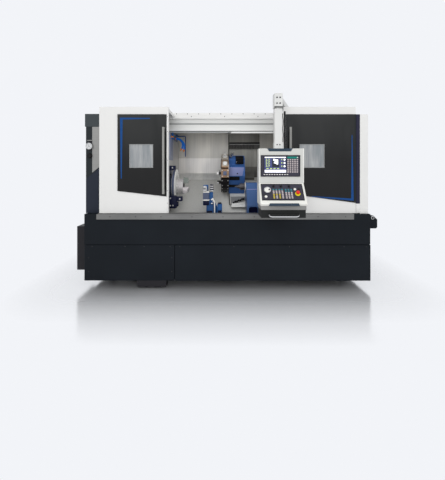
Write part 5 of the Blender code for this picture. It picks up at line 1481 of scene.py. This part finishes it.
def dress_steady():
    """The steady rest's block, rollers, pipe and lower bracket, all in front of its column."""
    low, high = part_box("steady_rest_block")
    rest_low, rest_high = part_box("steady_rest")
    middle = (low.x + high.x) / 2
    step = bmesh.new()
    block(step, (rest_low.x - 0.01, rest_low.y - 0.01, rest_low.z + 0.03),
          (rest_low.x + 0.047, rest_high.y + 0.01, low.z - 0.065))
    clear_of_tools = bmesh.new()
    outline = [(0.016, 1.180), (0.070, 1.180), (0.070, 1.116)]
    width = rest_high.x - rest_low.x + 0.02
    prism(clear_of_tools, [(rest_low.x - 0.01, y, z) for y, z in outline], (width, 0, 0))
    cuts = [cutter(step), cutter(clear_of_tools)]
    refined("steady_rest", "steady_rest_frame", "bright_blue", "steady", 0.004, cuts)
    foot = (rest_high.x - 0.060, rest_high.x - 0.001)
    build("steady_clamp_housing", "bright_blue", "steady",
        (block, (foot[0], rest_low.y + 0.012, rest_low.z + 0.004), (foot[1], rest_low.y + 0.14, 0.935),
         0.004))
    build("steady_slots", "deep_navy", "steady",
        (block, (foot[0] + 0.008, rest_low.y + 0.009, 0.824), (foot[1] - 0.006, rest_low.y + 0.02, 0.86),
         0.002),
        (block, (foot[0] + 0.01, rest_low.y + 0.02, 0.9355), (foot[1] - 0.01, rest_low.y + 0.12, 0.952),
         0.004),
        (block, (rest_low.x + 0.056, rest_low.y - 0.0035, 0.824),
         (rest_low.x + 0.125, rest_low.y + 0.004, 0.856), 0.002))
    build("steady_block_bands", "white_plastic", "steady",
        *[(block, (low.x - 0.003, low.y - 0.004, z), (high.x + 0.003, high.y + 0.0001, z + 0.015), 0.003)
          for z in (low.z - 0.001, high.z - 0.014)], slot="steel")
    build("steady_lower_cap", "deep_navy", "steady",
        (block, (low.x + 0.002, low.y - 0.0005, low.z - 0.06),
         (high.x - 0.002, low.y + 0.05, low.z - 0.0015), 0.006))
    shape = bmesh.new()
    x = low.x + 0.004
    for y, z, radius in ((-0.035, 0.055, 0.020), (0.020, 0.030, 0.016), (-0.050, 0.015, 0.013)):
        place = Vector((x, low.y + 0.050 + y, high.z + z))
        turned(shape, [(0.0, radius * 0.9), (0.004, radius), (0.030, radius), (0.034, radius * 0.9)], place,
               TO_RIGHT, 24)
        turned(shape, [(-0.006, 0.006), (0.042, 0.006)], place, TO_RIGHT, 12)
    turned(shape, [(0.0, 0.016), (0.058, 0.016), (0.064, 0.010)], (middle, low.y + 0.030, high.z + 0.004),
           (0, -0.2, 1), 20)
    piece("steady_rollers", shape, "chrome", "steady")
    shape = bmesh.new()
    column = rest_low.x + 0.098
    for number in range(3):
        z = high.z + 0.004 + number * 0.028
        block(shape, (column, low.y + 0.030, z), (column + 0.038, low.y + 0.075, z + 0.013), 0.003)
    piece("steady_bearing_rings", shape, "steel", "steady", "chrome")
    shape = bmesh.new()
    for number in range(3):
        z = high.z + 0.018 + number * 0.028
        block(shape, (column - 0.003, low.y + 0.027, z), (column + 0.041, low.y + 0.078, z + 0.012), 0.003)
    piece("steady_bearing_blocks", shape, "deep_navy", "steady")
    pipe_x = rest_low.x + 0.150
    pipe = [(pipe_x - 0.040, low.y + 0.020, 0.990), (pipe_x - 0.014, low.y + 0.008, 0.990),
            (pipe_x, low.y + 0.004, 0.972), (pipe_x + 0.004, low.y + 0.004, 0.920),
            (pipe_x + 0.004, low.y + 0.004, 0.860), (pipe_x + 0.004, low.y + 0.006, 0.800)]
    build("steady_pipe", "white_plastic", "steady", (tube, pipe, 0.0085))
    shape = bmesh.new()
    for x, z in ((-0.020, 1.000), (-0.010, 0.968), (-0.030, 0.940)):
        place = (pipe_x + x, low.y + 0.026, z)
        turned(shape, [(0.0, 0.012), (0.012, 0.012), (0.014, 0.008), (0.014, 0.003)], place, TO_FRONT, 20)
    piece("steady_joint_caps", shape, "chrome", "steady")


def dress_tailstock():
    low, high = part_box("tailstock")
    recess = bmesh.new()
    outline = [(0.278, 0.770), (0.392, 0.770), (0.392, 0.885), (0.372, 0.903), (0.298, 0.903), (0.278, 0.885)]
    prism(recess, on_front(outline, low.y - 0.01), (0, 0.085, 0))
    refined("tailstock", "tailstock_casting", "blue", "tailstock_body", 0.005, [cutter(recess)])
    inner = [(0.2795, 0.7135), (0.3905, 0.7135), (0.3905, 0.8845), (0.3715, 0.9015), (0.2985, 0.9015),
             (0.2795, 0.8845)]
    # Painted shade: a dark navy sheet at the back of the recess.
    build("tailstock_recess_back", "recess", "tailstock_body",
        (prism, on_front(inner, low.y + 0.0735), (0, -0.003, 0)))
    upper = [vertex.co for vertex in frame["nodes"]["tailstock"].data.vertices if vertex.co.z > high.z - 0.12]
    ridge = min(upper, key=lambda place: place.y)
    # A painted highlight: a pale lavender strip along the casting's top edge.
    build("tailstock_ridge", "ridge", "tailstock_body",
        (block, (low.x + 0.004, ridge.y - 0.0015, ridge.z - 0.006),
         (high.x - 0.004, ridge.y + 0.006, ridge.z + 0.004), 0.001))
    axis = joints["chuck_spin"]["pos_m"]
    build("quill_collar", "steel", "tailstock_body",
        (turned, [(0.0, 0.062), (0.01, 0.062), (0.014, 0.056), (0.014, 0.0462)],
         (low.x, axis[1], axis[2]), (-1, 0, 0), 40))


def dress_housing():
    """The turret housing: face plate, cable recess, connectors and the dark joint below."""
    low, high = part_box("turret_housing")
    slope = Turret.slope_point
    foot, half, crest = -0.145, 0.140, 0.220
    shape = bmesh.new()
    near, far = slope(-half / 2, half), slope(foot, half / 4)
    run = (far - near).normalized()
    outward = Vector((0, run.z, -run.y))
    if outward.y > 0:
        outward = -outward
    length = (far - near).length
    corners = [(low.x + 0.006, 0.004), (high.x - 0.010, 0.004), (high.x - 0.040, length - 0.004),
               (low.x + 0.006, length - 0.004)]
    points = [near + run * down + outward * SEATED + Vector((x, 0, 0)) for x, down in corners]
    prism(shape, points, outward * 0.004, 0.0012)
    piece("housing_face_plate", shape, "lavender", "cross_slide_body")
    shape = bmesh.new()
    hole = near + run * length * 0.72 + outward * 0.0044 + Vector((low.x + 0.118, 0, 0))
    turned(shape, [(0.0, 0.010), (0.001, 0.010), (0.001, 0.0004)], hole, outward, 20)
    for z, x in (((0.006, 0.064), (0.004, 0.150)), ((0.142, 0.185), (0.0, 0.200))):
        top = slope(foot, half / 4 - z[0])
        bottom = slope(foot, half / 4 - z[1])
        front = Vector((0, -math.cos(SLANT), -math.sin(SLANT)))
        corners = [top + Vector((low.x + x[0], 0, 0)), top + Vector((low.x + x[1], 0, 0)),
                   bottom + Vector((low.x + x[1], 0, 0)), bottom + Vector((low.x + x[0], 0, 0))]
        prism(shape, [corner + front * SEATED for corner in corners], front * 0.003)
    piece("housing_dark_slots", shape, "seam", "cross_slide_body", "navy_paint")
    recess_left, recess_right = 0.129, high.x - 0.016
    shape = bmesh.new()
    front = Vector((0, -math.cos(SLANT), -math.sin(SLANT)))
    corners = [(recess_left, crest + 0.003), (recess_right, crest + 0.003), (recess_right, half + 0.006),
               (recess_left, half + 0.006)]
    prism(shape, [slope(0, over, x) + front * SEATED for x, over in corners], front * 0.003)
    over = Turret.over_ways
    corners = [(recess_left, -0.003), (recess_right, -0.003), (recess_right, 0.104), (recess_left, 0.104)]
    prism(shape, [slope(along, crest, x) + over * SEATED for x, along in corners], over * 0.003)
    piece("cable_recess", shape, "seam", "cross_slide_body")
    shape = bmesh.new()
    centre = slope(-0.004, half + 0.045, recess_left + 0.022)
    turned(shape, [(0.0, 0.017), (0.018, 0.017), (0.020, 0.012), (0.036, 0.012)], centre, front, 20)
    centre = slope(0.050, crest + 0.004, low.x + 0.030)
    turned(shape, [(0.0, 0.018), (0.020, 0.018), (0.024, 0.013), (0.045, 0.012)], centre, over, 20)
    elbow = slope(0.050, crest + 0.050, low.x + 0.030)
    turned(shape, [(0.0, 0.013), (0.018, 0.013), (0.020, 0.016), (0.044, 0.016)], elbow, (0.6, -0.6, 0.5), 20)
    piece("cable_connectors", shape, "chrome", "cross_slide_body")
    shape = bmesh.new()
    start = slope(-0.040, half + 0.045, recess_left + 0.022)
    points = []
    for step in range(9):
        angle = math.radians(150 * step / 8)
        points.append(start + Vector((0.042 * (1 - math.cos(angle)), -0.020 * math.sin(angle),
                                      0.030 * math.sin(angle))))
    tube(shape, points, 0.011)
    piece("housing_cable", shape, "rubber", "cross_slide_body")
    dress_lower_saddle()


def dress_lower_saddle():
    """The cover below the housing: a pale plate, its edge strip, and the jointed links in front of it. The
    white edge strip is a painted highlight on the steel edge.
    """
    low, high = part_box("saddle_body")
    slope = Turret.slope_point
    over = Turret.over_ways
    rest = -0.262
    corners = [(low.x + 0.010, -0.470), (high.x - 0.150, -0.470), (high.x - 0.120, -0.225),
               (low.x + 0.010, -0.225)]
    build("saddle_step_plate", "pan", "saddle",
        (prism, [slope(along, rest, x) for x, along in corners], over * 0.006, 0.002))
    corners = [(low.x + 0.012, -0.469), (low.x + 0.240, -0.469), (low.x + 0.236, -0.362),
               (low.x + 0.140, -0.392), (low.x + 0.020, -0.412)]
    build("saddle_lower_plate", "rim_white", "saddle",
        (prism, [slope(along, rest, x) + over * 0.0063 for x, along in corners], over * 0.002, 0.0008))
    shape = bmesh.new()
    for number in range(7):
        x = low.x + 0.040 + number * 0.024
        along = -0.391 + 0.014 * number + 0.012 * (number % 2)
        centre = slope(along, rest + 0.022, x)
        turned(shape, [(0.0, 0.013), (0.016, 0.013)], centre, TO_RIGHT, 16)
        if number < 6:
            after = slope(-0.391 + 0.014 * (number + 1) + 0.012 * ((number + 1) % 2), rest + 0.022, x + 0.026)
            tube(shape, [centre + Vector((0.008, 0, 0)), after], 0.006, 8)
    piece("saddle_links", shape, "seam", "saddle")
    # A painted highlight: a white strip along the plate's curved steel edge.
    shape = bmesh.new()
    points = []
    for step in range(9):
        share = step / 8
        points.append(slope(-0.406 + 0.050 * share ** 1.6, rest + 0.010, low.x + 0.020 + 0.200 * share))
    tube(shape, points, 0.006, 10)
    piece("saddle_edge_strip", shape, "rim_white", "saddle", "steel")


# Sides, back and roof

PLATE_THICKNESS = 0.0025
LOUVRE_DEPTH = 0.0065


def wall_frame(origin, along, out):
    """A function from (distance along a wall, height, distance off it) to a place."""
    def place(across, height, off=0.0):
        return Vector(origin) + Vector(along) * across + Vector((0, 0, height)) + Vector(out) * off
    return place


def wall_panel(shape, place, span, heights):
    """A plate on a wall, with a gap round it."""
    gap = 0.005
    left, right = span[0] + gap, span[1] - gap
    low, high = heights[0] + gap, heights[1] - gap
    corners = [place(across, height, CLEAR)
               for across, height in ((left, low), (right, low), (right, high), (left, high))]
    prism(shape, corners, place(0, 0, PLATE_THICKNESS) - place(0, 0, 0), 0.001)


def panel_screws(shape, place, span, heights):
    """Screws in a plate's corners and half-way up its sides."""
    inset = 0.030
    out = place(0, 0, 1) - place(0, 0, 0)
    for across in (span[0] + inset, span[1] - inset):
        for height in (heights[0] + inset, (heights[0] + heights[1]) / 2, heights[1] - inset):
            screw(shape, place(across, height, PLATE_THICKNESS + 0.0006), out, 0.006)


def louvre_bank(shape, place, span, heights, count):
    """Slanted hoods, one over the other."""
    pitch = (heights[1] - heights[0]) / count
    for number in range(count):
        foot = heights[0] + pitch * number
        sheet = PLATE_THICKNESS + SEATED
        outline = [place(span[0], foot, sheet), place(span[0], foot, LOUVRE_DEPTH),
                   place(span[0], foot + pitch * 0.72, sheet)]
        prism(shape, outline, place(span[1], 0) - place(span[0], 0))


def dress_wall(name, place, plates, vents, material):
    """Plates, their screws and louvres on one wall. A plate is (span, heights)."""
    shape, screws = bmesh.new(), bmesh.new()
    for span, heights in plates:
        wall_panel(shape, place, span, heights)
        panel_screws(screws, place, span, heights)
    for span, heights, count in vents:
        louvre_bank(shape, place, span, heights, count)
    piece(f"{name}_plates", shape, material, "machine")
    piece(f"{name}_screws", screws, "dark_steel", "machine")


def dress_sides():
    rear_low, rear_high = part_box("rear_cabinet")
    base_low, base_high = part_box("base_casting")
    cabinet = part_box("right_cabinet")
    port_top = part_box("right_coolant_box")[1].z
    terminal_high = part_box("left_terminal_box")[1]
    cap_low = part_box("left_cabinet_cap")[0].z
    middle = 0.110
    right = wall_frame((base_high.x, 0, 0), (0, 1, 0), TO_RIGHT)
    left = wall_frame((base_low.x, 0, 0), (0, 1, 0), (-1, 0, 0))
    front_span, middle_span = (cabinet[0].y + 0.010, middle), (middle, cabinet[1].y - 0.004)
    rear_span = (rear_low.y + 0.006, rear_high.y - 0.012)
    top, foot = rear_high.z - 0.010, rear_low.z + 0.010
    dress_wall("right_side", right,
               [(front_span, (port_top + 0.010, top)), (middle_span, (foot, top)), (rear_span, (foot, top))],
               [((rear_span[0] + 0.06, rear_span[1] - 0.06), (1.56, 1.90), 14)], "white")
    brim = cap_low - 0.006
    dress_wall("left_side", left,
               [(front_span, (terminal_high.z + 0.010, brim)), (middle_span, (foot, brim))],
               [((middle_span[0] + 0.10, middle_span[1] - 0.10), (1.46, 1.76), 12)], "slate")
    dress_wall("left_rear_side", left, [(rear_span, (foot, brim))], [], "white")
    base_heights = (0.110, base_high.z - 0.008)
    base_span = (terminal_high.y + 0.012, base_high.y - 0.012)
    dress_wall("left_base", left, [(base_span, base_heights)],
               [((0.30, 0.80), (0.24, 0.46), 9)], "anthracite")
    split = 0.320
    dress_wall("right_base", right,
               [((base_low.y + 0.010, split), base_heights), ((split, base_high.y - 0.012), base_heights)],
               [((0.50, 0.98), (0.24, 0.46), 9)], "anthracite")


# The back sheets lie this far inside the back plane, so what stands on them stays within it
BACK_INSET = 0.008


def set_in(node, name, material):
    """The node with its back face set in, so that its plates and vents fit in front of the back plane."""
    low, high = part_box(node)
    skim = bmesh.new()
    past = 0.02
    block(skim, (low.x - past, high.y - BACK_INSET, low.z - past),
          (high.x + past, high.y + past, high.z + past))
    refined(node, name, material, "machine", 0.003, [cutter(skim)])


def dress_back():
    low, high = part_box("rear_cabinet")
    base_low, base_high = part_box("base_casting")
    set_in("rear_cabinet", "rear_cabinet_shell", "white")
    set_in("base_casting", "base_shell", "anthracite")
    place = wall_frame((0, high.y - BACK_INSET, 0), TO_RIGHT, (0, 1, 0))
    doors = 4
    width = (high.x - low.x - 0.04) / doors
    spans = [(low.x + 0.02 + width * number, low.x + 0.02 + width * (number + 1)) for number in range(doors)]
    heights = (low.z + 0.020, high.z - 0.014)
    vents = [((span[0] + 0.16, span[1] - 0.16), (1.62, 1.90), 12) for span in (spans[0], spans[3])]
    vents += [((span[0] + 0.16, span[1] - 0.16), (0.72, 0.90), 8) for span in (spans[1], spans[2])]
    dress_wall("back", place, [(span, heights) for span in spans], vents, "white")
    base_heights = (0.110, base_high.z - 0.010)
    thirds = (base_high.x - base_low.x - 0.04) / 3
    plates = [((base_low.x + 0.02 + thirds * number, base_low.x + 0.02 + thirds * (number + 1)), base_heights)
              for number in range(3)]
    dress_wall("back_base", place, plates, [((-0.34, 0.34), (0.22, 0.46), 10)], "anthracite")
    shape = bmesh.new()
    for span in spans:
        latch = place(span[1] - 0.060, 1.30, 0.0030)
        block(shape, latch - Vector((0.015, 0, 0.060)), latch + Vector((0.015, 0.0040, 0.060)), 0.001)
    piece("back_latches", shape, "black", "machine")


def dress_roof():
    low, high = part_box("roof_plate")
    rail_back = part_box("top_rail")[1].y
    place = wall_frame((0, 0, high.z), TO_RIGHT, UPWARDS)
    shape, screws = bmesh.new(), bmesh.new()
    count = 4
    width = (high.x - low.x - 0.06) / count
    front, back = rail_back + 0.020, high.y - 0.030
    for number in range(count):
        left = low.x + 0.03 + width * number
        right = left + width
        block(shape, (left + 0.005, front, high.z + CLEAR), (right - 0.005, back, high.z + 0.004), 0.001)
        for x in (left + 0.05, right - 0.05):
            for y in (front + 0.04, (front + back) / 2, back - 0.04):
                screw(screws, (x, y, high.z + 0.0046), UPWARDS, 0.007)
    centre = place(0.34, 0.0) + Vector((0, (front + back) / 2, 0.0044))
    turned(shape, [(0.0, 0.150), (0.008, 0.150), (0.010, 0.118), (0.050, 0.118), (0.054, 0.110),
                   (0.054, 0.0005)], centre, UPWARDS, 48)
    piece("roof_plates", shape, "white", "machine")
    piece("roof_screws", screws, "dark_steel", "machine")
    shape = bmesh.new()
    for x in (-1.42, 1.42):
        for y in (front + 0.12, back - 0.12):
            turned(shape, [(0.0, 0.024), (0.006, 0.024), (0.010, 0.012), (0.016, 0.012)],
                   (x, y, high.z + 0.0044), UPWARDS, 20)
            ring = []
            for step in range(19):
                angle = math.radians(-80 + 340 * step / 18)
                ring.append((x + 0.017 * math.cos(angle), y, high.z + 0.036 + 0.017 * math.sin(angle)))
            tube(shape, ring, 0.005, 10)
    piece("lifting_eyes", shape, "dark_steel", "machine")


dress_nodes()
dress_door("left", [
    (-1.2452, 1.9790), (-0.8973, 1.9755), (-0.8973, 1.9650), (-1.2150, 1.9570), (-1.2254, 1.2710),
    (-1.2370, 1.2710),
], (-0.7040, -0.6860), "white")
dress_door("right", [
    (1.4445, 1.7770), (1.4525, 1.7770), (1.4679, 1.0132), (0.9814, 1.0600), (0.9814, 1.0666),
    (1.4388, 1.0399),
], (0.6585, 0.6790), "seam")
dress_right_door_edge()
dress_left_column()
dress_top()
dress_base()
dress_headstock()
dress_chuck()
dress_hoses()
dress_saddle()
dress_turret()
dress_display()
dress_controls()
dress_console()
dress_steady()
dress_tailstock()
dress_housing()
dress_sides()
dress_back()
dress_roof()
add_camera()
add_world()
add_floor()
add_lights()
bpy.context.scene.view_settings.view_transform = "Standard"
